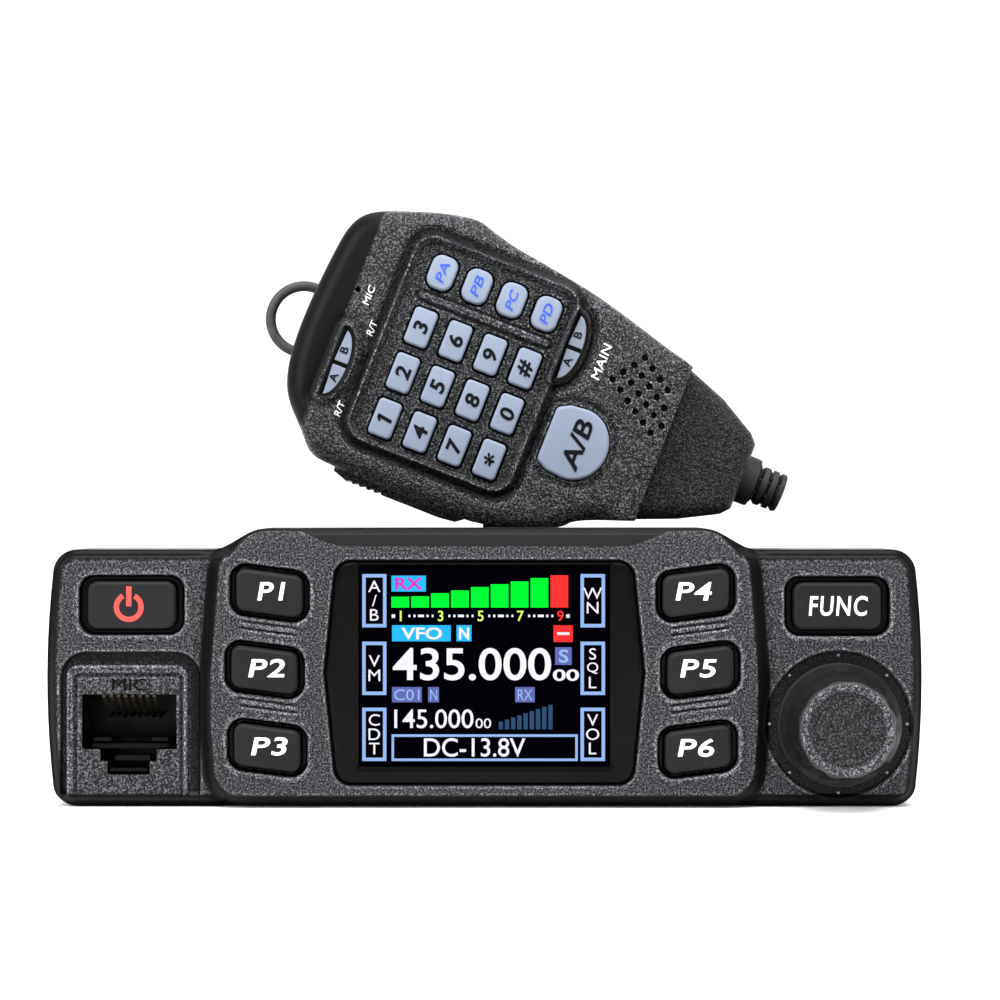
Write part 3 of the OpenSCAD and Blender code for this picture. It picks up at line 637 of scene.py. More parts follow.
def panel_height(x, z):
    out = -panel_distance(x, z)
    centre = centre_distance(x, z)
    h = CENTRE_RISE * ease(1 - centre / 2.3) - 0.35 * bell(centre, 2.5, 0.7)
    # Rounded border, then the bevel along the foot
    border = border_width(x, z)
    h = h - (0.3 + 0.55 * border) * (1 - ease(out / border)) - 0.12 * bell(out, border, 0.22)
    h = h - 0.9 * ease((2.4 - z) / 2.4)
    # Bevel above the display
    above = z - scoop_line(x)
    h = h - np.where(np.abs(x) < SCOOP_HALF, 0.5 * np.clip(above, 0, None), 0) * ease((SCOOP_HALF - np.abs(x)) / 3)
    for d in key_pits:
        v = d(x, z)
        h = h - 1.5 * ease((0.25 - v) / 0.5) + 0.1 * bell(v, 0.55, 0.3)
    for d in side_pits:
        v = d(x, z)
        h = h - 1.6 * ease((0.25 - v) / 0.5) + 0.1 * bell(v, 0.6, 0.35)
    # Pairs of grooves between the sloped keys
    for side in (-1, 1):
        for level in (25.5, 14.6):
            along = x * side - 30.4
            line = z - level - along * KEY_SLOPE
            fade = ease((4.6 - np.abs(along)) / 1.2)
            for shift in (-0.5, 0.5):
                h = h - 0.45 * fade * bell(line, shift, 0.2)
    v = window_distance(x, z)
    h = h - 0.9 * ease((0.3 - v) / 0.6)
    # Well round the knob
    r = np.hypot(x - KNOB_X, z - KNOB_Z)
    h = h - 0.75 * ease((WELL_R - r + 0.2) / 0.4) + 0.08 * bell(r - WELL_R, 0.35, 0.25)
    # Microphone jack: channel, ridge and inner face, open at the foot
    foot = ease((z - 1.2) / 1.2)
    h = h - 1.15 * ease((0.25 - jack_channel(x, z)) / 0.5) * foot
    h = h + 0.75 * ease((0.25 - jack_ridge(x, z)) / 0.5) * foot
    h = h - 0.5 * bell(jack_block(x, z), -0.1, 0.3) * foot
    return h - 0.25 * ease((-0.1 - jack_block(x, z)) / 0.3) * foot


def panel_polish(x, z):
    out = -panel_distance(x, z)
    centre = centre_distance(x, z)
    channel = ease((0.1 - jack_channel(x, z)) / 0.2) * ease((jack_ridge(x, z) - 0.3) / 0.2)
    return strongest(
        1 - ease((out - border_width(x, z) + 0.2) / 0.3),
        ease((centre - 0.25) / 0.3) * ease((2.5 - centre) / 0.3),
        ease((z - scoop_line(x)) / 0.3 + 0.5) * (np.abs(x) < SCOOP_HALF),
        ease((2.1 - z) / 0.3),
        *(ease((0.12 - d(x, z)) / 0.15) for d in key_pits + side_pits),
        ease((0.3 - window_distance(x, z)) / 0.2),
        0.8 * ease((WELL_R - 0.1 - np.hypot(x - KNOB_X, z - KNOB_Z)) / 0.2),
        # The sunk jack channel is made smooth and near-black: partly its smooth finish, partly painted shade in the
        # recess
        0.85 * channel * ease((z - 1.5) / 0.5))


def panel_holes(x, z):
    d = np.minimum(jack_mouth(x, z), window_distance(x, z) + 0.45)
    for hole in key_holes + side_holes:
        d = np.minimum(d, hole(x, z))
    return np.minimum(d, np.hypot(x - KNOB_X, z - KNOB_Z) - BUSHING_HOLE_R)


def to_wing(points):
    points = points.copy()
    points[:, 1] += WING_Y
    return points


def add_panel():
    depth = PANEL_BACK - WING_Y
    points, faces, marks = relief(
        panel_distance, panel_height, (-HALF_W - 0.5, HALF_W + 0.5, -0.5, PANEL_TOP + 0.5), FACE_PITCH,
        [(0, depth - 0.6), (0.4, depth), (2.4, depth), (2.4, depth - 3)], panel_holes, (3.2,), panel_polish)
    add_piece("front_panel_face", to_wing(points), faces, "radio", "panel_plastic", PANEL_PLASTIC, ["front_panel"],
              marks=marks, angle=50)


def add_key(node, domain, area, face, drop, colour, slot, body, place=None, y0=0.0, back=3.0):
    """A key cap: a gently crowned face with rounded edges."""
    cx, cz = (area[0] + area[1]) / 2, (area[2] + area[3]) / 2
    half = max(area[1] - area[0], area[3] - area[2]) / 2

    def height(x, z):
        crown = 0.12 * (1 - ((x - cx) ** 2 + (z - cz) ** 2) / half ** 2)
        return face + crown - drop * roll_off(-domain(x, z) / drop)

    pitch = 0.15
    points, faces, _ = relief(domain, height, area, pitch, [(0, back)], back=True)
    points[:, 1] += y0
    add_piece(node + "_cap", points, faces, body, slot, colour, [node], place=place, angle=50)


def around(x, z, w, h):
    return (x - w / 2, x + w / 2, z - h / 2, z + h / 2)


def add_radio_keys():
    for node, (x, z, slope) in P_KEYS.items():
        add_key(node, round_box(x, z, *P_KEY_SIZE, slope), around(x, z, 9.8, 7.8), CENTRE_RISE + 0.35, 0.75,
                KEY_PLASTIC, "soft_key", node, y0=WING_Y)
        half = 1.95 if node == "key_p1" else 2.55
        x *= 0.988                               # the words stand slightly towards the display
        box = (x - half, x + half, z - 1.0, z + 1.55, WING_Y - CENTRE_RISE - 0.44)
        text_mesh("P" + node[-1], box, None, LEGEND_WHITE, node + "_legend", node, "soft_key",
                  slant=0.14, weight=0.014, spacing=1.1)
    for node, (x, z) in SIDE_KEYS.items():
        add_key(node, round_box(x, z, *SIDE_KEY_SIZE), around(x, z, 12.8, 7.1), 0.35, 0.6, KEY_PLASTIC, "soft_key",
                node, y0=WING_Y)
    x, z = SIDE_KEYS["func_button"]
    text_mesh("FUNC", (x - 4.1, x + 4.2, z - 1.35, z + 1.45, WING_Y - 0.46), None, LEGEND_WHITE, "func_legend",
              "func_button", "soft_key", slant=0.1, weight=0.012, spacing=1.15)
    add_power_sign()


def add_power_sign():
    """Open ring with an upright bar."""
    x, z = SIDE_KEYS["power_button"]
    x, z = x - 0.3, z - 0.25
    outer, inner, thick, front = 2.1, 1.4, 0.1, WING_Y - 0.47
    gap = math.radians(28)
    steps = 40
    verts, faces = [], []
    for k in range(steps + 1):
        a = math.pi / 2 + gap + (2 * math.pi - 2 * gap) * k / steps
        for r in (inner, outer):
            for y in (front, front + thick):
                verts.append((x + r * math.cos(a), y, z + r * math.sin(a)))
        if k:
            p, q = 4 * (k - 1), 4 * k
            faces += [[p, p + 2, q + 2, q], [p + 1, q + 1, q + 3, p + 3], [p, q, q + 1, p + 1],
                      [p + 2, p + 3, q + 3, q + 2]]
    faces += [[0, 1, 3, 2], [4 * steps, 4 * steps + 2, 4 * steps + 3, 4 * steps + 1]]
    verts, faces = join([(verts, faces), block(x - 0.36, front, z + 0.1, x + 0.36, front + thick, z + 2.9)])
    add_piece("power_sign", verts, faces, "power_button", "soft_key", LEGEND_RED)


add_panel()
add_radio_keys()

# ---- display

LCD_COLS, LCD_ROWS = 160.0, 128.0
LCD_Y = WING_Y - CENTRE_RISE + 0.95


def screen_x(column):
    return -LCD_W / 2 + column * LCD_W / LCD_COLS


def screen_z(row):
    return LCD_CENTRE_Z + LCD_H / 2 - row * LCD_H / LCD_ROWS


def glowing(name, colour, strength=1.0):
    return plain("glow_" + name, tuple(c * 0.1 for c in colour), 0.3, vary=0.02, emit=(colour, strength),
                 specular=0.0)


GLOW = {name: glowing(name, colour) for name, colour in {
    "white": (0.80, 0.79, 0.90), "green": (0.0, 1.0, 0.03), "red": (1.0, 0.03, 0.03), "frame": (0.26, 0.42, 0.75),
    "cyan": (0.02, 0.42, 0.80), "violet": (0.11, 0.13, 0.38), "lime": (0.60, 0.9, 0.12),
    "magenta": (0.65, 0.03, 0.45), "dim": (0.025, 0.065, 0.14)}.items()}
GLOW["black"] = glowing("black", (0.0005, 0.0005, 0.0025), 0.6)


def tiles(name, colour, boxes, layer):
    """Lit rectangles on the screen, each (left, top, right, bottom) in screen dots."""
    y = LCD_Y - 0.03 * layer
    verts, faces = join(block(screen_x(left), y, screen_z(bottom), screen_x(right), y + 0.02, screen_z(top))
                        for left, top, right, bottom in boxes)
    add_piece(name, verts, faces, "radio", "lcd", GLOW[colour])


def frame_boxes(left, top, right, bottom, t):
    return [(left, top, right, top + t), (left, bottom - t, right, bottom),
            (left, top + t, left + t, bottom - t), (right - t, top + t, right, bottom - t)]


def screen_text(words, left, top, right, bottom, colour, name, weight=0.0, widen=None):
    text_mesh(words, (screen_x(left), screen_x(right), screen_z(bottom), screen_z(top), LCD_Y - 0.09),
              None, GLOW[colour], name, "radio", "lcd", weight=weight, thick=0.02, widen=widen)


def screen_words(*rows):
    for row in rows:
        screen_text(*row)


def add_display():
    # Black window with an opening for the lit area
    hole = round_box(0, LCD_CENTRE_Z, LCD_W + 0.5, LCD_H + 0.5, 0.3)
    front = CENTRE_RISE - 0.3

    def domain(x, z):
        return window_distance(x, z) + 0.3

    def height(x, z):
        return front - 0.25 * (1 - ease(-domain(x, z) / 0.5)) - 0.2 * ease(1 - hole(x, z) / 0.4)

    points, faces, _ = relief(domain, height, (-23, 23, 3, 35.5), 0.3, [(0, -front + 1.6)], hole, (-front + 0.9,))
    add_piece("window_frame", to_wing(points), faces, "radio", "window_plastic", BLACK_GLOSS, ["display_window"],
              angle=50)
    tiles("screen_ground", "black", [(-1.2, -1.2, LCD_COLS + 1.2, LCD_ROWS + 1.2)], 0)
    frames = []
    for left, right in ((1.2, 16.8), (142.0, 157.8)):
        for top, bottom in ((4.8, 39.2), (48.4, 82.8), (91.0, 125.4)):
            frames += frame_boxes(left, top, right, bottom, 2.2)
    frames += frame_boxes(20.1, 108.2, 140.2, 125.4, 1.6)
    tiles("screen_frames", "frame", frames, 1)
    for k, letters in enumerate(("A/B", "VM", "CDT", "WN", "SQL", "VOL")):
        left = 4.8 if k < 3 else 145.6
        top, pitch = (9.0, 52.6, 95.2)[k % 3], 9.2
        start = top + (3 - len(letters)) * pitch / 2
        for n, letter in enumerate(letters):
            screen_text(letter, left, start + n * pitch, left + 8.4, start + n * pitch + 7.4, "white",
                        "screen_side_%d_%d" % (k, n), widen=1.1)
    bars = [(20 + 12.83 * n, 26.4 - tall, 31.4 + 12.83 * n, 26.4)
            for n, tall in enumerate([7.0, 7.2, 9.2, 11.0, 13.2, 15.0, 16.8, 19.0, 20.8])]
    tiles("signal_bars", "green", bars[:-1], 1)
    tiles("signal_bar_top", "red", [bars[-1], (124.6, 37.9, 137, 48.6)], 1)
    dots = [(20.2, 30.8, 22.4, 33.0), (132.8, 30.8, 135.0, 33.0)]
    for n, digit in enumerate("13579"):
        column = 26.0 + 25.75 * n
        screen_text(digit, column, 28.4, column, 35.2, "red" if digit == "9" else "lime",
                    "scale_" + digit, weight=0.01, widen=1.0)
        if digit != "9":
            dots += [(column + a, 31.0, column + b, 32.6)
                     for a, b in ((5.0, 6.2), (8.2, 9.6), (11.2, 15.0), (16.6, 18.0), (20.0, 21.2))]
    tiles("scale_dots", "white", dots, 1)
    tiles("badges", "cyan", [(20.0, 5.8, 42.3, 16.1), (20.4, 37.8, 58.3, 48.2), (62, 37.8, 71.7, 48.2)], 1)
    tiles("badges_low", "violet", [(20.4, 77.7, 39.6, 87.5), (43.7, 77.7, 50.7, 87.5), (99.8, 77.7, 112.5, 87.5),
                                   (125.6, 52.0, 136.3, 63.4)], 1)
    screen_words(("RX", 22.4, 7.2, 40.0, 14.8, "magenta", "rx_word", 0.02),
                 ("VFO", 26.4, 39.2, 52.6, 47.0, "white", "vfo_word", 0.02),
                 ("N", 63.6, 39.2, 70.2, 47.0, "white", "n_word", 0.03))
    tiles("minus_sign", "white", [(127.0, 42.4, 134.8, 44.0)], 2)
    screen_words(("435.000", 20.9, 52.4, 123.0, 73.4, "white", "main_value", 0.012),
                 ("00", 124.2, 66.2, 141.0, 73.7, "white", "main_small", 0.02),
                 ("S", 128.0, 53.4, 134.2, 62.0, "frame", "s_word", 0.02),
                 ("C01", 21.8, 79.2, 38.2, 86.2, "frame", "c_word"),
                 ("N", 45.0, 79.2, 49.6, 86.2, "frame", "n_low_word"),
                 ("RX", 101.4, 79.2, 111.0, 86.2, "frame", "rx_low_word"),
                 ("145.000", 21.9, 92.0, 72.9, 104.2, "white", "second_value", 0.004),
                 ("00", 74.3, 97.9, 84.3, 104.2, "white", "second_small"))
    tiles("ghost_bars", "dim", [(89.2 + 4.0 * n, 100.0 - 1.35 * n, 92.0 + 4.0 * n, 105) for n in range(9)], 1)
    screen_words(("DC-13.8V", 41.0, 110.6, 106.4, 122.6, "white", "supply_word", 0.006))
    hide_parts("lcd_module")


add_display()

# ---- knob and jack


KNOB_COUNT = 144                                 # points round the knob
PIP_RING_R = 9.75


def add_knob():
    height = WING_Y - KNOB_FRONT
    profile = [(4.4, -0.6), (8.3, -0.6), (8.7, -0.1), (8.7, 1.6), (8.5, 2.2), (8.0, 2.7), (7.75, 3.4), (7.5, 5.0),
               (7.2, 7.0), (6.85, height - 1.3), (6.6, height - 0.5), (6.25, height - 0.1), (5.9, height - 0.02),
               (5.5, height - 0.2), (5.2, height - 0.5)]
    profile += [(5.2 * (1 - t) + 0.001, height - 0.5 - 0.6 * float(ease(t * 1.2))) for t in np.linspace(0.12, 1, 12)]

    def wobble(a, r, d):
        grip = 0.22 * (0.5 + 0.5 * math.cos(12 * a)) ** 2
        return -grip if 2.5 < d < height - 1.0 else 0.0

    verts, faces = revolve(profile, KNOB_COUNT, wobble)
    polish = [0.0 if r < 6.3 and d > 5 else 1.0 for r, d in profile]
    # Painted highlight: the top rim and two lines round the skirt get the top edge mark, which the finish makes much
    # lighter
    edge = [1.0 if 5.4 < r < 6.7 and d > 5 or d in (1.6, -0.1) else 0.5 for r, d in profile]
    marks = {"polish": np.repeat(polish, KNOB_COUNT), "edge": np.repeat(edge, KNOB_COUNT)}
    place = Matrix.Translation((KNOB_X, WING_Y, KNOB_Z))
    mat = moulded("knob_plastic", 0.010, 0.065, 3600, 0.0001, 0.45, 0.008, 0.22)
    add_piece("knob_cap", verts, [f[::-1] for f in faces], "knob", "knob_plastic", mat, ["knob"],
              place=place, marks=marks, angle=40)
    # Small pips in the ring round the knob
    verts, faces = [], []
    for a in np.linspace(0, 2 * math.pi, 9)[:-1]:
        x, z, r = KNOB_X + PIP_RING_R * math.cos(a), KNOB_Z + PIP_RING_R * math.sin(a), 0.2
        base = len(verts)
        verts += [(x + r * math.cos(b), WING_Y + y, z + r * math.sin(b)) for y in (0.6, 0.8)
                  for b in np.linspace(0, 2 * math.pi, 9)[:-1]]
        faces.append(list(range(base, base + 8)))
        faces += loop_quads(base, base + 8, 8)
    add_piece("knob_pips", verts, faces, "radio", "panel_plastic", LENS)


def slanted_bar(x, w, path, t):
    """A flat wire of width w whose middle line is path, as (y, z) points."""
    verts, faces = [], []
    for y, z in path:
        verts += [(x + i * w / 2, y, z + j * t / 2) for i, j in ((-1, -1), (1, -1), (1, 1), (-1, 1))]
    for k in range(len(path) - 1):
        a, b = 4 * k, 4 * k + 4
        faces += [[a + n, a + (n + 1) % 4, b + (n + 1) % 4, b + n] for n in range(4)]
    faces += [[3, 2, 1, 0], [4 * len(path) - 4 + n for n in range(4)]]
    return verts, faces


def add_jack():
    """Inside of the modular jack: stepped well, comb and latch ledges."""
    front, back = WING_Y + 0.85, WING_Y + 11.5
    verts = [(x, y, z) for y in (front, back) for x, z in JACK_STEPS]
    count = len(JACK_STEPS)
    faces = [[k, (k + 1) % count, count + (k + 1) % count, count + k] for k in range(count)]
    faces.append([count + k for k in range(count)])
    ledges = ((-5.3, 2.0, 8.25, 5.5, 6.0, 8.9), (-2.0, 1.2, 6.6, 3.0, 4.0, 7.3), (-2.6, 0.9, 5.1, 2.6, 4.0, 5.5),
              (-5.0, 1.6, 9.3, -2.6, 3.5, 9.8), (3.2, 1.6, 9.3, 5.4, 3.5, 9.8))
    verts, faces = join([(verts, faces)] + [block(JACK_X + x0, WING_Y + y0, z0, JACK_X + x1, WING_Y + y1, z1)
                                            for x0, y0, z0, x1, y1, z1 in ledges])
    add_piece("jack_well", verts, faces, "radio", "jack_plastic", BLACK_GLOSS, ["mic_jack"])
    wire = plain("jack_wire", (0.06, 0.05, 0.03), 0.4, metal=0.9)
    path = [(WING_Y + 1.4, 15.7), (WING_Y + 2.0, 15.3), (WING_Y + 7.5, 12.4), (WING_Y + 8.4, 12.2),
            (WING_Y + 10.8, 12.6)]
    verts, faces = join(slanted_bar(JACK_X - 3.6 + k * 1.02, 0.42, path, 0.3) for k in range(8))
    add_piece("jack_wires", verts, faces, "radio", "gilt", wire, ["mic_jack_contacts"])
    text_mesh("MIC", (JACK_X - 2.3, JACK_X + 2.6, 16.5, 18.2, WING_Y), None, BLACK_GLOSS, "jack_word", "radio",
              "panel_plastic", thick=0.12, surface=panel_height)


add_knob()
add_jack()

# ---- microphone

# Outline of the casing, anticlockwise from the tail; its two corners there stay sharp
MIC_POINTS = [(-13.4, -63), (-13.4, -63), (13.6, -62.6), (13.6, -62.6), (17.2, -50.3), (19.3, -41.9), (20.5, -34),
              (21.3, -28.2), (22.6, -23.4), (23.4, -21.0), (22.3, -15.3), (20.1, -8.9), (18.2, -4), (15.8, -1.8),
              (12, -0.8), (0, 0.2), (-8, 0), (-12.4, -0.9), (-15.8, -2.6), (-19.5, -6.5), (-22.7, -9.2),
              (-23.2, -13.2), (-23.9, -37.5), (-21.2, -47.1), (-18.8, -52.3), (-16.8, -53.8)]
mic_distance = outline_distance(smooth(MIC_POINTS, 2), 0.3)
field_distance = round_box(0.25, -27.5, 34.9, 27.8, 3.0)
DIGITS = {"mic_key_" + figure: figure for figure in "123456789"}
DIGITS |= {"mic_key_star": "*", "mic_key_0": "0", "mic_key_hash": "#"}
OVALS = {"mic_key_" + word.lower(): word for word in ("PA", "PB", "PC", "PD")}
DIGIT_AT = {node: on_mic(node) for node in DIGITS}
OVAL_AT = {node: on_mic(node) for node in OVALS}
AB_X, AB_Z = on_mic("mic_key_ab")
digit_pits = [round_box(x, z, 6.9, 4.6, 0.9) for x, z in DIGIT_AT.values()]
oval_pits = [round_box(x, z, 6.3, 5.0, 1.9) for x, z in OVAL_AT.values()]
AB_POINTS = [(AB_X + 5.98 * math.cos(a), AB_Z + 0.3 + 5.5 * math.sin(a)) for a in np.linspace(-math.pi, 0, 25)]
AB_POINTS += [(AB_X + x, AB_Z + z) for x, z in ((5.7, 3.2), (4.6, 5.25), (-4.6, 5.25), (-5.7, 3.2))]
ab_distance = outline_distance(AB_POINTS, 1.0)
GRILLE = [(12 - 1.19 * i - 1.73 * j, -54.7 - 1.8 * i + 1.21 * j) for i in range(6) for j in range(4)
          if i < 4 or j >= i - 3]
MAIN_LAMP = (9.1, -42.2, 5.6, 2.4)               # middle of the flat side, half width and height
TOP_LAMP = (-7.2, -7.6, 5.7, 2.3)
RIB = (8.3, -27.9, 1.1, 22.9)                    # middle, width and height
PINHOLE = (5.2, -7.0)


def half_moon(spec, grow=0.0):
    """A lens outline: flat towards the ring end, bowed towards the cord."""
    x0, z0, half, height = spec
    pts = [(x0 + (half + grow) * math.cos(a), z0 + grow + (height + 2 * grow) * math.sin(a))
           for a in np.linspace(-math.pi, 0, 25)]
    return outline_distance(pts)


main_lamp, top_lamp = half_moon(MAIN_LAMP), half_moon(TOP_LAMP)


def rounding(x, z, radius, depth):
    """How far the casing has turned away towards its outline; the end at the tail stays crisp."""
    crisp = 1 - 0.72 * ease((-57.5 - z) / 4)
    return depth * crisp * roll_off(-mic_distance(x, z) / (radius * crisp))


def mic_height(x, z):
    out = -mic_distance(x, z)
    h = -rounding(x, z, 3.4, 3.0)
    h = h - 0.32 * np.clip(z + 6.8, 0, None) - 0.25 * bell(z, -6.7, 0.35) * ease(out / 1.5)
    # Moat and rim round the keypad, and its sunk floor
    field = field_distance(x, z)
    moat = np.minimum(field, main_lamp(x, z) + 0.2)
    h = h - 1.0 * bell(moat, 1.5, 0.7)
    h = h + 0.6 * bell(field, 0.25, 0.24) - 0.75 * ease((-field - 0.1) / 0.7)
    rib = round_box(*RIB, 0.5)(x, z)
    h = h + 0.6 * ease((0.15 - rib) / 0.3) - 0.35 * bell(rib, 0.35, 0.25)
    for d in digit_pits + oval_pits:
        h = h - 0.55 * ease((0.1 - d(x, z)) / 0.25)
    ab = ab_distance(x, z)
    h = h - 0.6 * bell(ab, 0.9, 0.7) - 0.5 * ease((0.35 - ab) / 0.3)
    for lamp in (main_lamp, top_lamp):
        d = lamp(x, z)
        h = h + 0.35 * bell(d, 0.75, 0.4) - 0.5 * bell(d, 1.9, 0.7)
        h = h - 0.4 * ease((0.2 - d) / 0.3)
    for hx, hz in GRILLE:
        h = h - 1.0 * ease((0.62 - np.hypot(x - hx, z - hz)) / 0.3)
    return h - 1.0 * ease((0.5 - np.hypot(x - PINHOLE[0], z - PINHOLE[1])) / 0.25)


def mic_polish(x, z):
    moat = np.minimum(field_distance(x, z), main_lamp(x, z) + 0.2)
    return strongest(
        ease((z + 6.6) / 0.4),
        0.7 * ease((moat - 0.45) / 0.3) * ease((2.1 - moat) / 0.6),
        *(ease((0.1 - d(x, z)) / 0.15) for d in digit_pits + oval_pits),
        ease((0.3 - ab_distance(x, z)) / 0.2),
        *(ease((0.9 - lamp(x, z)) / 0.3) for lamp in (main_lamp, top_lamp)),
        *(ease((0.6 - np.hypot(x - hx, z - hz)) / 0.15) for hx, hz in GRILLE + [PINHOLE]))


BUTTON_X, BUTTON_Z = on_mic("mic_hang_button")


def screw_places():
    """Middles of the four screws, from the pieces of their node."""
    mesh = frame["nodes"]["mic_screws"].data
    inverse = MIC.inverted()
    points = [inverse @ (v.co / MM) for v in mesh.vertices]
    places = []
    for p in points:
        near = [q for q in places if math.hypot(p.x - q.x, p.z - q.z) < 6]
        if not near:
            group = [q for q in points if math.hypot(p.x - q.x, p.z - q.z) < 6]
            places.append(Vector(((min(q.x for q in group) + max(q.x for q in group)) / 2, 0,
                                  (min(q.z for q in group) + max(q.z for q in group)) / 2)))
    return places


def to_mic(points, y0, backwards=False):
    points = points.copy()
    if backwards:
        points[:, 1] *= -1
    points[:, 1] += y0
    return points


def add_mic_shells():
    area = (-25, 25, -64, 1)
    points, faces, marks = relief(mic_distance, mic_height, area, FACE_PITCH,
                                   [(0, MIC_SPLIT - 0.5), (0.35, MIC_SPLIT - 0.05), (2.2, MIC_SPLIT - 0.05)],
                                   polish=mic_polish)
    add_piece("mic_front", to_mic(points, 0), faces, "mic", "mic_case", MIC_PLASTIC, ["mic_front_shell"],
              place=MIC, marks=marks, angle=55)

    screws = [(p.x, p.z) for p in screw_places()]

    def back_height(x, z):
        h = MIC_T - MIC_SPLIT - rounding(x, z, 6.0, 4.6)
        for sx, sz in screws:
            h = h - 2.4 * ease((2.3 - np.hypot(x - sx, z - sz)) / 0.35)
        # Raised pad round the hanging button
        r = np.hypot(x - BUTTON_X, z - BUTTON_Z)
        return h - 0.35 * bell(r, 8.0, 0.3)

    points, faces, marks = relief(mic_distance, back_height, area, 0.3,
                                  [(0, -0.5), (0.35, -0.05), (2.2, -0.05)])
    add_piece("mic_back", to_mic(points, MIC_SPLIT, True), [f[::-1] for f in faces], "mic", "mic_case", MIC_PLASTIC,
              ["mic_back_shell"], place=MIC, marks=marks, angle=55)


def add_one_flag(x, z, tall, y, place, material, name, body, slot):
    """The short stroke of a figure one, which the font leaves out; x, z is the head of its stem."""
    points = [(x - 0.36 * tall, z - 0.32 * tall), (x - 0.06 * tall, z - 0.17 * tall), (x, z),
              (x - 0.14 * tall, z), (x - 0.36 * tall, z - 0.17 * tall)]
    verts, faces = prism(points, y, y + 0.05, 0.01)
    add_piece(name, verts, faces, body, slot, material, place=place)


def add_mic_key(node, domain, area, drop):
    add_key(node, domain, area, 0.3, drop, PALE_KEY, "pale_key", node, MIC, back=2.0)


def add_mic_keys():
    for node, (x, z) in DIGIT_AT.items():
        add_mic_key(node, round_box(x, z, 6.2, 3.9, 0.7), around(x, z, 6.6, 4.3), 0.35)
        tall = 0.95 if DIGITS[node] == "*" else 1.25
        text_mesh(DIGITS[node], (x, x, z - tall, z + tall, -0.42), MIC, LEGEND_BLACK, node + "_legend", node,
                  "pale_key", weight=0.018 if tall < 1 else 0.03, widen=1.15, slant=0.12)
    x, z = DIGIT_AT["mic_key_1"]
    add_one_flag(x + 0.2, z + 1.25, 2.5, -0.48, MIC, LEGEND_BLACK, "mic_key_1_flag", "mic_key_1", "pale_key")
    for node, (x, z) in OVAL_AT.items():
        add_mic_key(node, round_box(x, z, 5.6, 4.3, 1.6), around(x, z, 6.0, 4.7), 0.4)
        text_mesh(OVALS[node], (x - 1.7, x + 1.7, z - 0.75, z + 0.75, -0.42), MIC, LEGEND_BLUE,
                  node + "_legend", node, "pale_key", slant=0.2, weight=0.01)
    add_mic_key("mic_key_ab", ab_distance, around(AB_X, AB_Z, 12.6, 11.2), 0.5)
    text_mesh("A/B", (AB_X - 4.3, AB_X + 4.2, AB_Z - 1.5, AB_Z + 1.6, -0.44), MIC, LEGEND_BLACK, "mic_key_ab_legend",
              "mic_key_ab", "pale_key", slant=0.15, weight=0.02)


MIC_END_Z = -75.9                                # end of the tail cover
TAIL = [(-12, -59.5), (12, -59.5), (12, -62.6), (9.6, -69), (6.2, -75), (5.2, MIC_END_Z), (-5.2, MIC_END_Z),
        (-6.2, -75), (-9.4, -69), (-12, -62.6)]


def add_mic_tail():
    tail_distance = outline_distance(TAIL, 0.6)

    def height(x, z):
        return -2.6 - 2.2 * roll_off(-tail_distance(x, z) / 2.6)

    points, faces, marks = relief(tail_distance, height, (-13, 13, -77, -59), 0.3, [(0, 21.0), (2.2, 23.4)],
                                  back=True)
    add_piece("mic_tail", points, faces, "mic", "mic_case", TAIL_PLASTIC, ["mic_tail_cover"],
              place=MIC, marks=marks, angle=55)


def prism(points, front, back, bevel):
    """A flat outline in x and z carried back, with its front and back edges bevelled."""
    small = inset(points, bevel)
    rings = [(small, front), (points, front + bevel), (points, back - bevel), (small, back)]
    verts = [(x, y, z) for ring, y in rings for x, z in ring]
    n = len(points)
    faces = [list(range(n)), [3 * n + k for k in reversed(range(n))]]
    for k in range(3):
        faces += loop_quads(k * n, (k + 1) * n, n)
    return verts, faces


def add_lamps():
    """Two half-moon lamps, each split in two, with their letters."""
    parts = []
    for spec in (MAIN_LAMP, TOP_LAMP):
        x0, z0, half, height = spec
        for side, letter in ((-1, "A"), (1, "B")):
            arc = [(x0 + side * (0.35 + (half - 0.45) * math.cos(a)), z0 - height * math.sin(a))
                   for a in np.linspace(0.12, math.pi / 2, 13)]
            arc.append((x0 + side * 0.35, z0))
            if side > 0:
                arc.reverse()
            parts.append(prism(arc, -0.15, 1.4, 0.12))
            x = x0 + side * half * 0.42
            text_mesh(letter, (x, x, z0 - 1.6, z0 - 0.25, -0.18), MIC, LEGEND_BLACK,
                      "lamp_%s_%d" % (letter.lower(), int(abs(z0))), "mic", "lamp_clear", widen=1.1,
                      weight=0.02)
    verts, faces = join(parts)
    add_piece("lamp_windows", verts, faces, "mic", "lamp_clear", LENS, ["lamp_lenses"], place=MIC)


def add_mic_words():
    for words, x, z, tall, wide in (("MIC", 5.0, -9.0, 1.1, 1.25), ("R/T", 0.2, -11.4, 1.05, 1.15),
                                    ("R/T", -14.0, -11.3, 1.05, 1.15), ("MAIN", 8.8, -48.3, 1.45, 1.2)):
        name = "mic_word_%d" % int(abs(x * 10))
        text_mesh(words, (x, x, z - tall / 2, z + tall / 2, -0.25), MIC, LEGEND_WHITE, name, "mic", "mic_case",
                  widen=wide, slant=0.1, surface=mic_height)


def add_ptt():
    """Push-to-talk bar: its outer side is bowed and has ribs near the ring end."""
    x_in, x_out, z_top, z_end = -20.9, -24.75, -13.7, -36.7
    outer = [(x_out + 0.9, z_top)]
    for k in range(5):
        z = z_top - 2.9 - 1.3 * k
        outer += [(x_out, z + 0.2), (x_out + 0.35, z), (x_out + 0.35, z - 0.5), (x_out, z - 0.7)]
    outer += [(x_out, z_end + 4), (x_out + 0.3, z_end + 1.2), (x_out + 1.2, z_end)]
    points = outer + [(x_in, z_end), (x_in, z_top)]
    verts, faces = prism(points, 5.8, 18.2, 0.12)
    marks = {"polish": [0.0] * len(verts), "edge": [0.5] * len(verts)}
    add_piece("ptt_bar_cap", verts, faces, "ptt_bar", "mic_case", MIC_PLASTIC, ["ptt_bar"], place=MIC, marks=marks)


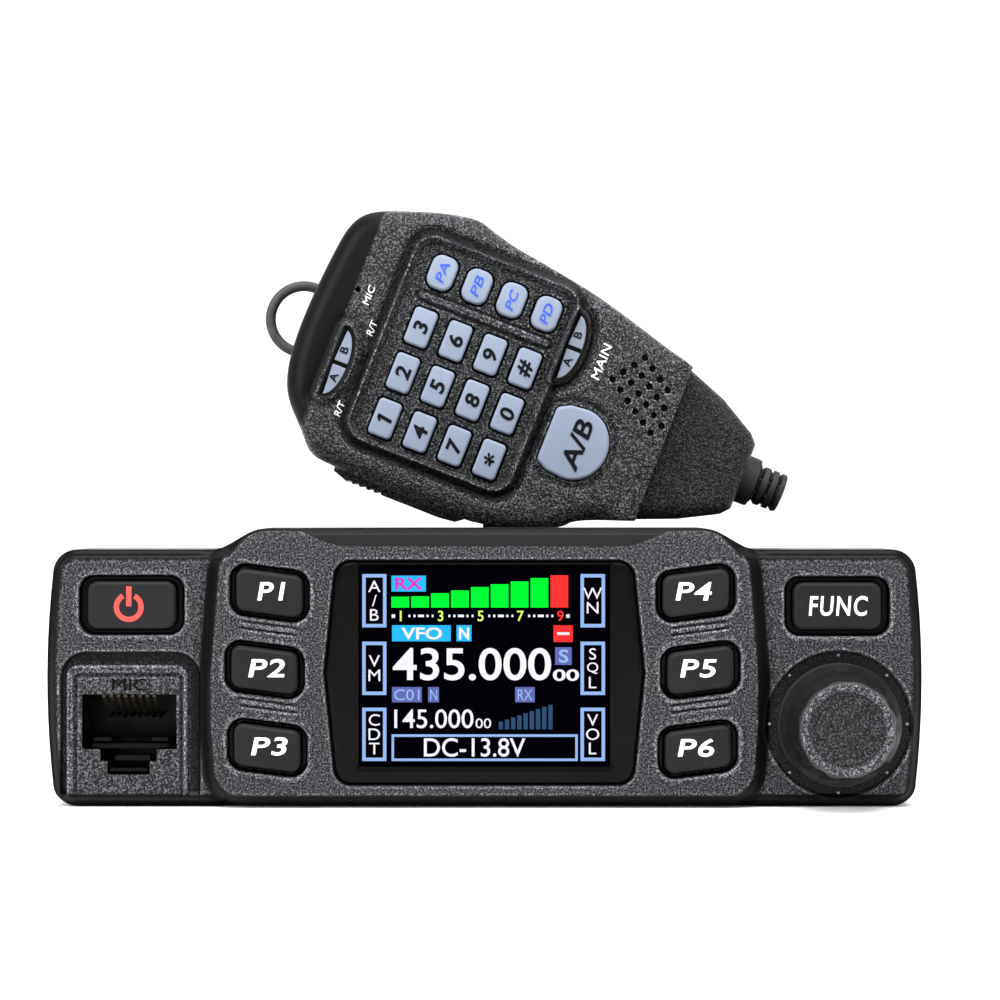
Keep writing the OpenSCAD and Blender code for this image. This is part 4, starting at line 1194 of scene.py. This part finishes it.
BOOT_PITCH = 1.55
GAP_R = 2.6


def add_boot():
    """Strain relief: a plain collar, then rings with gaps bridged every quarter turn."""
    profile = [(1.6, 6.0), (1.6, 8.9), (2.9, 8.9), (3.25, 8.7)]
    for k in range(3):
        at = 8.0 - BOOT_PITCH * k
        profile += [(3.3, at), (GAP_R, at - 0.05), (GAP_R, at - 0.6), (3.3, at - 0.65)]
    profile += [(3.3, 4.2), (2.9, 4.1), (3.95, 3.95), (4.1, 3.6), (4.15, 0.3), (4.05, -0.1), (2.0, -0.1)]

    def wobble(a, r, d):
        bridge = abs(math.cos(2 * a + (0 if int(d / BOOT_PITCH) % 2 else math.pi / 2))) > 0.8
        return 0.62 if r == GAP_R and bridge else 0.0

    verts, faces = revolve(profile, 96, wobble)
    place = MIC @ Matrix.Translation((0, CORD_HOLE.y, MIC_END_Z)) @ Matrix.Rotation(math.pi / 2, 4, "X")
    add_piece("cord_boot", verts, faces, "mic", "boot_rubber", BOOT_VINYL, ["cable_boot"], place=place)


add_mic_shells()
add_mic_keys()
add_mic_tail()
add_lamps()
add_mic_words()
add_ptt()
add_boot()

# ---- finishes of the pieces carried over from CAD

FINISH = {name: plain(name, colour, rough, **rest) for name, colour, rough, rest in (
    ("cast_body", (0.013, 0.013, 0.014), 0.5, {"vary": 0.3, "grain": 1300, "depth": 0.00025}),
    ("sheet_cover", (0.010, 0.010, 0.011), 0.42, {"vary": 0.2, "grain": 2200, "depth": 0.00012}),
    ("dark_screw", (0.09, 0.09, 0.095), 0.3, {"metal": 0.9}),
    ("plated_screw", (0.55, 0.45, 0.22), 0.35, {"metal": 1.0}),
    ("circuit_board", (0.02, 0.12, 0.05), 0.4, {}),
    ("key_rubber", (0.6, 0.61, 0.62), 0.6, {}),
    ("gilt", (0.75, 0.52, 0.18), 0.3, {"metal": 1.0}),
    ("encoder_metal", (0.42, 0.43, 0.45), 0.35, {"metal": 1.0}),
    ("nickel", (0.55, 0.56, 0.57), 0.25, {"metal": 1.0}),
    ("ptfe", (0.85, 0.84, 0.8), 0.5, {"vary": 0.03}),
    ("inlet_plastic", (0.72, 0.69, 0.6), 0.45, {"vary": 0.04}),
    ("bracket_paint", (0.016, 0.016, 0.017), 0.4, {"grain": 1200}),
    ("mic_pickup", (0.5, 0.51, 0.53), 0.35, {"metal": 1.0}))}
FINISH |= {"panel_plastic": PANEL_PLASTIC, "window_plastic": BLACK_GLOSS, "lcd": BLACK_GLOSS,
           "jack_plastic": BLACK_SATIN, "module_case": BLACK_SATIN, "speaker_parts": BLACK_SATIN,
           "black_moulding": BLACK_SATIN, "soft_key": KEY_PLASTIC, "knob_plastic": BLACK_GLOSS,
           "mic_case": MIC_PLASTIC, "boot_rubber": BOOT_VINYL, "lamp_clear": LENS, "ring_metal": RING_STEEL,
           "pale_key": PALE_KEY}


def dress_cad_nodes():
    for part in frame["record"]["subparts"]:
        mesh = frame["nodes"][part["node"]].data
        mesh.materials.clear()
        mesh.materials.append(FINISH[part["material_slot"]])


dress_cad_nodes()

# ---- antenna socket

THREAD_PITCH = 1.058                             # 24 turns to the inch
THREAD_DEPTH = 0.48
CREST_R = 7.94


def add_antenna_socket():
    """Threaded barrel on a round flange, bored for the insulator."""
    x, _, z = middle("antenna_socket")
    rear, tip = low("antenna_socket")[1], high("antenna_socket")[1]
    flange_r = high("antenna_socket")[0] - x
    length = tip - rear
    profile = [(6.0, 0.0), (flange_r - 0.3, 0.0), (flange_r, 0.3), (flange_r, 1.7), (flange_r - 0.3, 2.0), (7.6, 2.0),
               (7.5, 2.4)]
    profile += [(CREST_R, float(d)) for d in np.arange(2.6, length - 0.5, 0.13)]
    profile += [(7.4, length - 0.05), (7.2, length), (6.15, length), (6.0, length - 0.15), (6.0, 0.0)]

    def wobble(a, r, d):
        if r != CREST_R:
            return 0.0
        turn = (d / THREAD_PITCH - a / (2 * math.pi)) % 1.0
        return -THREAD_DEPTH * (1 - abs(2 * turn - 1))

    verts, faces = revolve(profile, 72, wobble)
    place = Matrix.Translation((x, rear, z)) @ Matrix.Rotation(math.pi, 4, "Z")
    add_piece("antenna_barrel", verts, faces, "radio", "nickel", FINISH["nickel"], ["antenna_socket"],
              place=place, angle=30)


add_antenna_socket()
